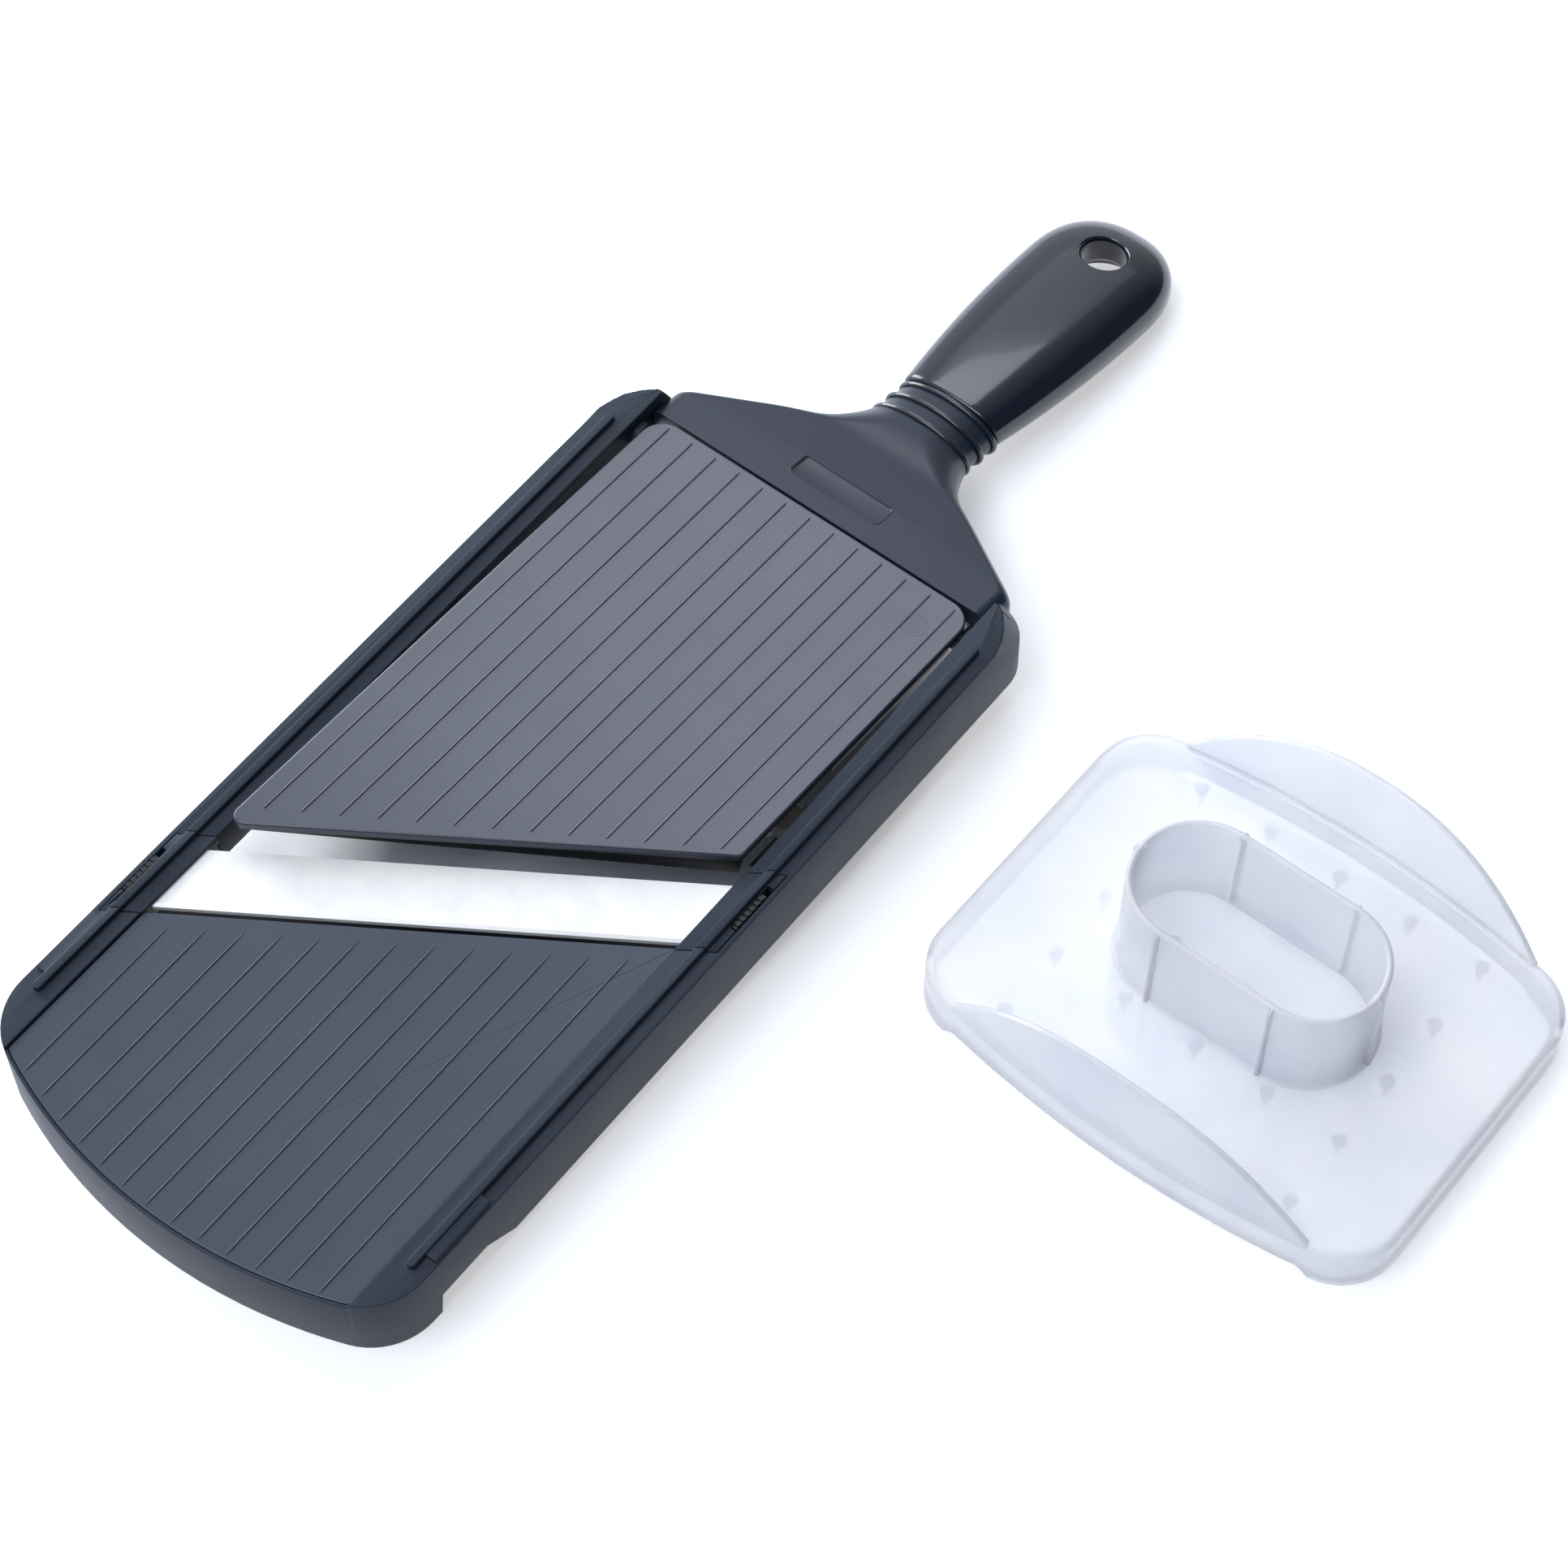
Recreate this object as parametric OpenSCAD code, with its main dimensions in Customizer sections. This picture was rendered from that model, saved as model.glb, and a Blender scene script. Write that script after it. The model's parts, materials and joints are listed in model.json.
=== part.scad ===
// Hand-held mandoline slicer with a skewed ceramic blade, an adjustable feed plate
// and a separate hand guard that stands beside it on the table.
// The slicer's pieces are drawn with the deck level, and on_deck() then leans the
// whole slicer so that its front foot and the belly of its handle touch z = 0.
// The origin is on the table, under the middle of the front wall.

/* [Deck] */
// Width across the two side walls
deck_w = 131; // [126:0.5:140]
// Height of the rail tops above the wall bottoms
rail_z = 22.2; // [21.4:0.1:23]
// Thickness of the front and side walls
wall_t = 2.2; // [1.6:0.1:2.4]
// Thickness of the rail tops
rail_t = 2.4; // [1.6:0.1:3]
// Thickness of the inner web that hangs from each rail
web_t = 1.7; // [1.2:0.1:2.2]
// Radius of the bowed front edge in plan
front_r = 143; // [120:1:220]
// Radius of the two front corners
front_corner_r = 19; // [14:0.5:24]
// Radius of the two rear corners
rear_corner_r = 20; // [15:0.5:24]
// Distance from the origin to the rear end of the rails
rail_end_y = 262.8; // [262:0.1:266]
// Distance from the rear end of the rails to the centre of a rear corner
rear_corner_in = 16.4; // [15:0.1:17]
// Width of each rail top
rail_w = 10; // [9.6:0.1:10.2]
// Length of the front foot that is cut level with the table
foot_l = 30.4; // [22:0.2:31]

/* [Bowl notch] */
// Length of the notch that hooks over the rim of a bowl
notch_l = 27; // [18:0.5:36]
// Height of the notch
notch_h = 6.2; // [4:0.1:8]
// Length of the sloping rear flank of the notch
notch_ramp = 10; // [4:0.5:14]

/* [Guide rails] */
// Width of each guide rib
guide_w = 2.3; // [1.6:0.1:2.6]
// Height of the guide rib above the rail top
guide_h = 1.8; // [1:0.1:2.4]
// Distance from a side wall's face to the middle of its guide rib
guide_inset = 4.9; // [4.5:0.1:5.5]
// Front end of the guide ribs
guide_front_y = 26.5; // [22:0.5:34]
// Rear end of the guide ribs
guide_rear_y = 248.1; // [230:0.5:250]
// Length of the guard stop beside the front end of each rib
stop_l = 20; // [10:0.5:26]
// Height of the guard stop above the rail top
stop_h = 1.3; // [0.6:0.1:2]

/* [Landing plate] */
// Height of the landing plate's top above the wall bottoms
landing_z = 21.2; // [20.6:0.1:21.3]
// Thickness of the landing plate
landing_t = 2.2; // [1.6:0.1:2.6]
// Width of the thin lip that frames the landing plate at the front
lip_t = 0.9; // [0.6:0.1:1.2]
// Where the rear edge of the landing plate crosses the middle of the deck
landing_rear_y = 96.3; // [95:0.1:96.8]
// Width of the ledge that carries the landing plate
ledge_w = 4; // [2.5:0.1:6]
// Thickness of that ledge
ledge_t = 2.4; // [1.5:0.1:3]

/* [Anti-stick ribs] */
// Number of fine ribs on each plate
rib_n = 13; // [7:1:13]
// Distance between neighbouring ribs
rib_pitch = 7.95; // [6:0.05:8]
// Width of a fine rib
rib_w = 0.8; // [0.4:0.1:1.2]
// Height of a fine rib
rib_h = 0.5; // [0.3:0.05:0.8]

/* [Blade] */
// Rearward shift of the blade per unit of width, seen from above
skew = 0.66; // [0.5:0.01:0.72]
// Where the front edge of the blade crosses the middle of the deck
blade_y = 98.8; // [98:0.1:99.5]
// Width of the blade, square to its edge
blade_w = 17; // [15:0.1:17.2]
// Thickness of the blade
blade_t = 1.9; // [1.4:0.1:2.2]
// Height of the blade's top above the wall bottoms
blade_z = 20.9; // [20.6:0.1:21]
// Width of the ground bevel under the cutting edge
bevel_w = 3.4; // [2:0.1:5]
// Height left at the cutting edge
edge_t = 0.2; // [0.1:0.05:0.4]
// Length of blade hidden in each cheek
blade_tuck = 4; // [2.5:0.1:4.3]

/* [Blade cartridge] */
// Reach of each cheek in front of the blade, along the deck
cheek_front = 3.4; // [3:0.1:3.8]
// Reach of each cheek behind the blade, along the deck
cheek_rear = 4; // [3.2:0.1:4.6]
// Distance from a side wall's face to the outer slit of the cheek
slit_inset = 1.4; // [1.2:0.1:1.6]
// Height of the floor that the cartridge rests on
pocket_z = 9.6; // [8:0.1:10]
// Clearance between the cartridge and its pocket
seam_gap = 0.15; // [0.08:0.01:0.25]
// Thickness of the clamp bar under each blade end
clamp_t = 3.6; // [2.6:0.1:4]
// Thickness of the bridge below the clamp bars
bridge_t = 4.4; // [3:0.1:4.6]
// Width of the bridge, along the deck
bridge_w = 8; // [5:0.5:11]
// Radius of the shank of a clamp screw
clamp_screw_r = 0.6; // [0.45:0.05:0.7]
// Radius of the head of a clamp screw
clamp_head_r = 1.1; // [0.9:0.05:1.3]

/* [Cartridge latches] */
// Length of a latch slider
latch_l = 12; // [8:0.5:13]
// Width of the latch's finger rail
latch_w = 1.3; // [1:0.1:1.4]
// Travel of a latch slider
latch_travel = 2.5; // [1.5:0.1:3]
// Clearance around a latch slider
latch_gap = 0.3; // [0.25:0.05:0.35]
// Height of the latch's finger rail above the rail top
latch_proud = 0.5; // [0.2:0.1:1]
// Number of grip teeth on a latch
latch_teeth = 6; // [4:1:8]

/* [Feed plate] */
// Gap between a side of the feed plate and the rail beside it
plate_side_gap = 2.5; // [2:0.1:4]
// Thickness of the feed plate
plate_t = 2.4; // [1.8:0.1:2.6]
// Where the front edge of the feed plate crosses the middle of the deck
plate_front_y = 125.4; // [124.5:0.1:128]
// Distance from the hinge to the rear edge of the feed plate
plate_tail = 5.2; // [4.5:0.1:5.4]
// Height of the plate's top at its hinge
plate_z = 19.7; // [19.4:0.1:20]
// Radius of the rear corners of the feed plate
plate_corner_r = 7; // [4:0.5:9]
// Height of the black edge strip under the front edge
strip_h = 5.4; // [3:0.1:6]
// Thickness of that strip
strip_t = 1.6; // [1.2:0.1:2.4]
// Rise of the plate above the deck when it is closed, in degrees
closed_deg = 3.84; // [3:0.02:4]
// Fall of the plate from closed to the thickest cut, in degrees
plate_swing = 4.58; // [3.6:0.02:4.7]

/* [Hinge] */
// Distance from the origin to the hinge axis
hinge_y = 252.5; // [252.2:0.1:252.8]
// Height of the hinge axis above the wall bottoms
hinge_z = 14.5; // [14.2:0.1:14.6]
// Radius of the steel hinge pins
pin_r = 1.5; // [1.2:0.1:1.6]
// Running clearance of a pin in the plate's ear, on the radius
pin_gap = 0.05; // [0.02:0.01:0.1]
// Outer radius of an ear
ear_r = 3.5; // [3:0.1:3.8]
// Width of an ear
ear_w = 4; // [3:0.1:4.4]
// Radius of the wire of the plate springs
spring_wire_r = 0.35; // [0.25:0.05:0.4]
// Turns of a plate spring
spring_turns = 4; // [3:1:5]

/* [Thickness control] */
// Distance from the origin to the cam shaft
shaft_y = 184; // [180:0.5:190]
// Height of the cam shaft above the wall bottoms
shaft_z = 9.8; // [9.4:0.1:10]
// Radius of the cam shaft
shaft_r = 3; // [2.4:0.1:3]
// Running clearance of the shaft in its bearings, on the radius
shaft_gap = 0.05; // [0.02:0.01:0.1]
// Turn of the shaft from closed to the thickest cut, in degrees
shaft_turn = 270; // [240:5:280]
// Width of a cam
cam_w = 6; // [4:0.5:7]
// Distance from a side of the feed plate to the middle of the cam under it
cam_inset = 10; // [9.5:0.5:15]
// Clearance between a cam and the plate above it
cam_gap = 0.3; // [0.2:0.05:0.4]
// Radius of the thumb barrel
barrel_r = 6; // [5:0.1:6]
// Length of the thumb barrel
barrel_l = 32; // [20:1:44]
// Number of finger flutes round the barrel
flute_n = 12; // [8:1:16]
// Radius of a finger flute
flute_r = 0.9; // [0.6:0.1:1.1]
// Radius of the click wheel
click_r = 5.2; // [4.6:0.1:5.3]
// Width of the click wheel
click_w = 4; // [3:0.1:4]
// Radius of a click notch
click_notch_r = 0.9; // [0.5:0.1:1.2]
// Length of a bearing block along the deck
bearing_l = 18; // [16:0.5:22]
// Thickness of a bearing cap
cap_t = 5.5; // [5:0.1:6]
// Radius of the shank of a cap screw
cap_screw_r = 1.25; // [1:0.05:1.4]
// Radius of the head of a cap screw
cap_head_r = 2.4; // [2:0.1:2.8]
// Thickness of the click spring
click_spring_t = 0.4; // [0.3:0.05:0.6]

/* [Yoke] */
// Front edge of the yoke, behind the feed plate
yoke_y = 258.4; // [258.2:0.1:258.8]
// Height of the yoke's top at its front edge
yoke_z = 19.7; // [19:0.1:20.4]
// Fall of the yoke's top per unit of length
yoke_fall = 0.2; // [0.16:0.01:0.22]
// Angle of the yoke's slanted flanks, in degrees from the cross direction
flank_deg = 31.5; // [28:0.5:34]
// Distance by which the yoke's flanks stand behind the rear corners of the deck
flank_out = 5.6; // [3:0.1:7]
// Radius of the shoulders that fill the rear corners of the deck
shoulder_r = 12; // [10:0.5:16]
// Height of the shoulders' vertical sides
shoulder_h = 12; // [9:0.5:15]
// Distance from the yoke's flanks to the shoulders' faces, which stand a little inside them
shoulder_in = 0.7; // [0:0.1:2]
// Radius of the hollow fillets between the flanks and the neck
flank_r = 24; // [18:0.5:26]
// Radius of the rounded upper edge of the yoke
yoke_edge_r = 4.5; // [2:0.1:5]
// Half width of the neck
neck_hw = 15.5; // [14.5:0.1:16]
// Half height of the neck
neck_hh = 8.2; // [7.8:0.1:8.6]
// Length of the crossbar that carries the yoke, along the deck
bar_l = 6.6; // [5:0.1:7.4]
// Height of the crossbar's top
bar_z = 8; // [7:0.1:9]
// Thickness of the crossbar
bar_t = 5; // [3:0.1:5.5]
// Radius of the shank of a yoke screw
yoke_screw_r = 1.5; // [1.2:0.1:1.7]
// Radius of the head of a yoke screw
yoke_head_r = 2.7; // [2.2:0.1:3]
// Length of the blank badge recess
badge_l = 29; // [20:0.5:34]
// Width of the blank badge recess
badge_w = 7.6; // [5:0.1:9]

/* [Handle] */
// Middle of the first neck ring
ring_y = 304.4; // [303:0.1:306]
// Distance between neighbouring neck rings
ring_pitch = 6.05; // [4:0.05:6.2]
// Width of a neck ring
ring_w = 1.5; // [1:0.1:2]
// Stand-off of a neck ring from the neck
ring_proud = 1.2; // [0.8:0.1:1.6]
// Half width of the handle at the neck
grip_neck_hw = 13.6; // [13:0.1:15]
// Largest half width of the handle
grip_hw = 21.15; // [19:0.05:23]
// Where the handle is widest
grip_wide_y = 380.2; // [372:0.2:384]
// Rear end of the handle
grip_end_y = 407.9; // [404:0.1:414]
// Height of the handle's middle line at the first neck ring
grip_z = 2.7; // [2.2:0.1:3.2]
// Fall of the handle's middle line per unit of length
grip_fall = 0.15; // [0.13:0.01:0.17]
// Height of the handle above its middle line, as a share of its half width
grip_top = 0.5; // [0.46:0.01:0.54]
// Depth of the handle below its middle line, as a share of its half width
grip_belly = 0.42; // [0.4:0.01:0.48]
// Exponent of the handle's rounded section
grip_exp = 2.5; // [2:0.1:3]
// Radius of the hanging hole
hang_r = 6.5; // [5:0.1:7.5]
// Distance from the origin to the hanging hole
hang_y = 388.9; // [386:0.1:392]
// Radius of the rounded rim round the hanging hole
hang_rim_r = 8.2; // [7.8:0.1:9]
// Thickness of the handle at the hanging hole
hang_t = 13; // [10:0.5:14]
// Width of the tang inside the handle
tang_w = 16; // [10:0.5:18]
// Thickness of the tang
tang_t = 6; // [4:0.1:7]
// Length of the tang behind the neck
tang_l = 52; // [40:1:55]
// Clearance between the tang and the grip
tang_gap = 0.15; // [0.08:0.01:0.25]

/* [Hand guard] */
// Distance from the middle of the slicer to the middle of the guard
guard_x = 166.4; // [150:0.5:200]
// Distance from the origin to the middle of the guard
guard_y = 219.1; // [80:1:340]
// Clearance between the slicer's side and the guard's side rim
guard_side_gap = 2; // [0.5:0.1:3]
// Length of the guard between its two creases
guard_l = 103; // [90:1:120]
// Radius of the guard's corners
guard_corner_r = 17; // [12:0.5:22]
// Height of the guard's plate above the table
guard_z = 14; // [12:0.5:18]
// Thickness of the guard's plate and walls
guard_t = 2; // [1.5:0.1:2.4]
// Bow of the guard's front and rear edges
guard_bow = 4.8; // [3:0.1:7]
// Half the chord of the bowed edges
guard_chord = 53.4; // [48:0.5:57]
// Height of the arched hand shields above the plate
arch_h = 26.5; // [15:0.5:34]
// Exponent of the arch of the hand shields
arch_exp = 2.4; // [2:0.1:3]
// Gap under the shields, between the guard and the table
arch_gap = 3; // [1:0.1:5]
// Length of the collar that the hand grips
collar_l = 71.4; // [56:0.5:78]
// Width of that collar
collar_w = 37.8; // [30:0.5:44]
// Height of the collar above the plate
collar_h = 30; // [16:0.5:36]
// Thickness of the collar's wall
collar_t = 1.8; // [1.4:0.1:2.2]
// Width of the stiffening ribs on the outside of the collar
collar_rib_w = 1.2; // [0.8:0.1:1.6]
// Stand-off of those ribs from the collar
collar_rib_out = 1.3; // [0.8:0.1:2]
// Number of spikes along and across the guard
spike_n = 5; // [3:1:5]
// Distance between spikes across the guard
spike_pitch_x = 21.4; // [16:0.1:23]
// Distance between spikes along the guard
spike_pitch_y = 21.2; // [14:0.1:22]
// Length of a spike below the plate
spike_l = 8; // [4:0.5:9]
// Radius of a spike at its root
spike_r = 1.7; // [1.2:0.1:2.4]

/* [Hidden] */

$fn = 64;

// Overshoot of cuts past a surface
eps = 0.5;
// Larger than any piece, for half spaces
big = 500;

// Plan of the deck
half_w = deck_w / 2;
rail_in = half_w - rail_w;
guide_x = half_w - guide_inset;
foot_drop = 2;
front_y = -wall_t / 2;
front_cy = front_y + front_r;
fc_x = half_w - front_corner_r;
fc_y = front_cy - sqrt(pow(front_r - front_corner_r, 2) - pow(fc_x, 2));
rc_x = half_w - rear_corner_r;
rc_y = rail_end_y - rear_corner_in;
flank_nx = sin(flank_deg);
flank_ny = cos(flank_deg);
corner_d = rc_x * flank_nx + rc_y * flank_ny + rear_corner_r;
notch_y = foot_l;

// Skew
skew_deg = atan(skew);
blade_len_y = blade_w / cos(skew_deg);
cheek_y0 = blade_y - cheek_front;
cheek_y1 = blade_y + blade_len_y + cheek_rear;

// Landing seat
landing_bottom = landing_z - landing_t;
landing_gap = 0.15;

// Blade and cartridge
blade_bottom = blade_z - blade_t;
slit_x = half_w - slit_inset;
blade_half_l = rail_in + blade_tuck;
cheek_in = rail_in - 0.3;
cheek_out = slit_x - seam_gap;
carrier_z = pocket_z + 0.1;
clamp_in = rail_in + 0.1;
clamp_out = blade_half_l + 0.4;
clamp_z = blade_bottom - clamp_t;
bridge_y = blade_y + 3.2;
latch_x1 = slit_x - latch_gap;
latch_x0 = latch_x1 - latch_w;
latch_foot_x0 = latch_x0 - 1.9;
latch_foot_z = 14.6;
latch_foot_h = 2;
latch_mid_y = (cheek_y0 + cheek_y1) / 2;

// Feed plate, from its hinge axis
plate_w = 2 * (rail_in - plate_side_gap);
plate_top = plate_z - hinge_z;
plate_under = plate_top - plate_t;
plate_reach = hinge_y - plate_front_y;
ear_x = plate_w / 2 - 0.4 - ear_w;
boss_x0 = plate_w / 2 + 0.6;
boss_r = 4;
boss_l = 5;
pin_x0 = ear_x - 5.6;
pin_x1 = boss_x0 + boss_l + 1.4;
spring_gap = 0.15;
spring_r = pin_r + spring_wire_r + spring_gap;
spring_lead = 2 * spring_wire_r + spring_gap;
spring_leg_rear = yoke_y - hinge_y - spring_gap;
spring_leg_front = ear_r + 1.9;
spring_steps = 14;
edge_bar_w = 1.8;
edge_bar_h = 2.6;
edge_bar_in = 14;
edge_bar_y = edge_bar_in - (hinge_y - shaft_y);

// Cam: distance from the shaft to the plate's underside at a plate angle
arm_y = hinge_y - shaft_y;
arm_z = hinge_z - shaft_z;
function plate_rise(turn) = closed_deg - plate_swing * turn / shaft_turn;
function cam_reach(turn) =
    let (a = plate_rise(turn)) arm_y * sin(a) + arm_z * cos(a) + plate_under - cam_gap;
function cam_dir(turn) = 90 - plate_rise(turn) - turn;
cam_step = 0.5;
function cam_slope(turn) =
    (cam_reach(turn + cam_step) - cam_reach(turn - cam_step))
    / ((cam_dir(turn + cam_step) - cam_dir(turn - cam_step)) * PI / 180);
function cam_point(turn) =
    let (d = cam_dir(turn), r = cam_reach(turn), s = cam_slope(turn))
    [r * cos(d) - s * sin(d), r * sin(d) + s * cos(d)];
cam_n = 36;
cam_outline = [for (i = [0 : cam_n]) cam_point(shaft_turn * i / cam_n)];

// Webs
web_z = 11;
web_in = 5;

// Bearings
bearing_x0 = rail_in;
bearing_x1 = half_w - wall_t;
cap_bottom = shaft_z - cap_t;
cap_screw_dy = bearing_l / 2 - 2.8;
cap_screw_x = (bearing_x0 + bearing_x1) / 2;
cap_head_t = 1.5;
cap_screw_l = cap_t + 7;
cam_x = plate_w / 2 - cam_inset;
click_x = cam_x + cam_w / 2 + 1.6;
click_spring_l = 14;
click_tab_l = 5.8;

// Yoke
bar_y = yoke_y + 1;
yoke_screw_in = 19.5;
yoke_screw_x = rail_in - yoke_screw_in;
yoke_screw_l = bar_t + 6;
yoke_rib_x = 14;
yoke_rib_t = 2;
yoke_skin = 3;
yoke_roof = 10.5;
yoke_screw_y = bar_y + bar_l / 2;
yoke_head_t = 2;
badge_in = 11;
badge_y = yoke_y + badge_in;
badge_r = 1.2;
badge_depth = 0.4;

// Handle stations
grip_start_y = ring_y + 2 * ring_pitch + ring_w / 2 + 1;
grip_n = 30;
grip_fn = 32;
function grip_line(y) = grip_z - grip_fall * (y - ring_y);
function grip_half(y) = y < grip_wide_y
    ? grip_hw - (grip_hw - grip_neck_hw) * pow((grip_wide_y - y) / (grip_wide_y - ring_y), 2)
    : grip_hw * pow(max(0, 1 - pow((y - grip_wide_y) / (grip_end_y - grip_wide_y), 2.6)), 0.5);
// Stations crowd together towards the rounded end
function grip_station(i) =
    grip_start_y + (grip_end_y - grip_start_y) * (1 - pow(1 - i / grip_n, 1.7)) * 0.9995;
function power(v, p) = sign(v) * pow(abs(v), p);
function grip_ring(y) =
    let (w = grip_half(y), zc = grip_line(y))
    [for (k = [0 : grip_fn - 1])
        let (a = 360 * k / grip_fn, s = sin(a))
        [w * power(cos(a), 2 / grip_exp), y,
         zc + w * (s > 0 ? grip_top : grip_belly) * power(s, 2 / grip_exp)]];
function neck_line(y) = grip_z - 0.25 * (y - ring_y);
function neck_ring(y) =
    [for (k = [0 : grip_fn - 1])
        let (a = 360 * k / grip_fn)
        [(yoke_half(y) + ring_proud) * cos(a), y, neck_line(y) + (neck_hh + ring_proud) * sin(a)]];
// Yoke stations: half width, top and bottom, and how far the section has become an ellipse
flank_d = corner_d + flank_out;
fillet_cx = neck_hw + flank_r;
fillet_cy = (flank_d + flank_r - flank_nx * fillet_cx) / flank_ny;
fillet_y = fillet_cy - flank_r * flank_ny;
yoke_front_hw = rail_in + 0.6;
yoke_rear_y = grip_start_y - 0.2;
yoke_gap = 0.3;
shoulder_d = flank_d - shoulder_in;
shoulder_x = half_w - shoulder_r;
shoulder_y = (shoulder_d - shoulder_r - flank_nx * shoulder_x) / flank_ny;
neck_blend = 26;
neck_skirt = 1;
pocket_end_y = fillet_cy - neck_blend / 2;
yoke_n = 30;
yoke_arc = 8;
function yoke_half(y) =
    y > fillet_cy ? neck_hw
    : y > fillet_y ? fillet_cx - sqrt(pow(flank_r, 2) - pow(fillet_cy - y, 2))
    : min(yoke_front_hw, (flank_d - flank_ny * y) / flank_nx);
function smooth(t) = let (u = min(1, max(0, t))) u * u * (3 - 2 * u);
function neck_share(y) = smooth((y - fillet_cy + neck_blend) / neck_blend);
function mix(a, b, t) = a + (b - a) * t;
function yoke_top(y) =
    mix(yoke_z - yoke_fall * (y - yoke_y), neck_line(y) + neck_hh, smooth((y - fillet_y) / 12));
function yoke_base(y) =
    let (y0 = bar_y + bar_l, z1 = neck_line(fillet_cy) - neck_hh)
    y > fillet_cy ? neck_line(y) - neck_hh
    : y < y0 ? bar_z - bar_t
    : mix(bar_z - bar_t, z1, (y - y0) / (fillet_cy - y0));
function corner_arc(a, z, ra, rz, sx, sz, y) =
    [for (k = [0 : yoke_arc - 1])
        let (t = 90 * k / (yoke_arc - 1), u = sx * sz > 0 ? t : 90 - t)
        [sx * (a - ra + ra * cos(u)), y, z + sz * rz * (sin(u) - 1)]];
function yoke_ring(y) =
    let (a = yoke_half(y), zt = yoke_top(y), zb = yoke_base(y), s = neck_share(y),
         h = (zt - zb) / 2, k = 0.999,
         ta = mix(yoke_edge_r, a * k, s), tz = mix(yoke_edge_r, h * k, s),
         ba = mix(neck_skirt, a * k, s), bz = mix(neck_skirt, h * k, s))
    concat(corner_arc(a, zt, ta, tz, 1, 1, y), corner_arc(a, zt, ta, tz, -1, 1, y),
           corner_arc(a, zb, ba, bz, -1, -1, y), corner_arc(a, zb, ba, bz, 1, -1, y));
tang_y = grip_start_y - 6;
tang_z = grip_line(tang_y);
tang_deg = atan(grip_fall);
hang_top_z = grip_line(hang_y) + grip_top * grip_half(hang_y) - 1.3;
grip_screw_y = tang_y + tang_l - 10;
grip_screw_r = 1.5;
grip_head_r = 3;
grip_head_t = 1.6;
grip_screw_up = 2;
grip_screw_down = 6;

// Lean of the slicer on the table
deck_tilt = max([for (i = [0 : grip_n])
    let (y = grip_station(i)) atan((grip_belly * grip_half(y) - grip_line(y)) / y)]);

// Guard
guard_hw = half_w + guard_side_gap + guard_t;
guard_hl = guard_l / 2;
bow_r = (pow(guard_chord, 2) + pow(guard_bow, 2)) / (2 * guard_bow);
arch_n = 24;

// Leans the slicer on its foot and handle
module on_deck() {
    rotate([deck_tilt, 0, 0]) children();
}

// Draws its children on both sides of the deck
module both_sides() {
    children();
    mirror([1, 0, 0]) children();
}

// A solid along the X axis from a section in Y and Z
module along_x(x0, x1) {
    translate([x0, 0, 0]) rotate([90, 0, 90]) linear_extrude(x1 - x0) children();
}

// A bar along X, round in section
module rod_x(x0, x1, r) {
    along_x(x0, x1) circle(r);
}

// Plan of the slicer, drawn smaller all round by inset
module outline(inset = 0) {
    intersection() {
        translate([0, front_cy]) circle(front_r - inset, $fn = 360);
        polygon([[0, front_cy], [(fc_x) * 4, front_cy + (fc_y - front_cy) * 4],
                 [-(fc_x) * 4, front_cy + (fc_y - front_cy) * 4]]);
    }
    for (s = [-1, 1]) {
        translate([s * fc_x, fc_y]) circle(front_corner_r - inset);
        translate([s * rc_x, rc_y]) circle(rear_corner_r - inset);
    }
    translate([-half_w + inset, fc_y]) square([deck_w - 2 * inset, rc_y - fc_y]);
    flank_region(inset);
}

// Region between the two rear corners, with slanted flanks
module flank_region(inset) {
    edge_x = rc_x + (rear_corner_r - inset) * flank_nx;
    edge_y = (corner_d - inset - flank_nx * edge_x) / flank_ny;
    tip_y = (corner_d - inset) / flank_ny;
    base_y = rc_y - rear_corner_r / 2;
    polygon([[edge_x, base_y], [edge_x, edge_y], [0, tip_y], [-edge_x, edge_y], [-edge_x, base_y]]);
}

// Plan region in front of the skewed line that crosses the middle at y
module before(y) {
    polygon([[-big, y - big * skew], [big, y + big * skew], [big, -2 * big], [-big, -2 * big]]);
}

// Plan region between x0 and x1 and between two skewed lines
module skew_patch(x0, x1, y0, y1) {
    polygon([[x0, y0 + x0 * skew], [x1, y0 + x1 * skew],
             [x1, y1 + x1 * skew], [x0, y1 + x0 * skew]]);
}

// Plan of one cheek of the cartridge, on the side that s names
module cheek_plan(s, x0, x1, grow) {
    skew_patch(s > 0 ? x0 : -x1, s > 0 ? x1 : -x0, cheek_y0 - grow, cheek_y1 + grow);
}

// A solid along the skew direction from a section across it
module along_skew(length) {
    rotate([0, 0, skew_deg]) translate([-length / 2, 0, 0])
        rotate([90, 0, 90]) linear_extrude(length) children();
}

// Round-ended guide rib of a rail
module guide_rib() {
    linear_extrude(rail_z + guide_h) {
        translate([guide_x - guide_w / 2, guide_front_y + guide_w / 2])
            square([guide_w, guide_rear_y - guide_front_y - guide_w]);
        for (y = [guide_front_y + guide_w / 2, guide_rear_y - guide_w / 2])
            translate([guide_x, y]) circle(guide_w / 2);
    }
}

// Side wall, front wall and rail tops
module deck_shell() {
    difference() {
        union() {
            translate([0, 0, -foot_drop]) linear_extrude(rail_z + foot_drop) difference() {
                outline();
                outline(wall_t);
            }
            translate([0, 0, rail_z - rail_t]) linear_extrude(rail_t) difference() {
                outline();
                translate([-rail_in, -big]) square([2 * rail_in, 2 * big]);
            }
        }
        translate([-big, rail_end_y, -big]) cube([2 * big, big, 2 * big]);
        translate([-big, foot_l, -foot_drop - eps]) cube([2 * big, big, foot_drop + eps]);
        translate([-rail_in, front_y - eps, landing_z]) cube([2 * rail_in, fc_y + 4 * eps, big]);
    }
}

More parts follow.
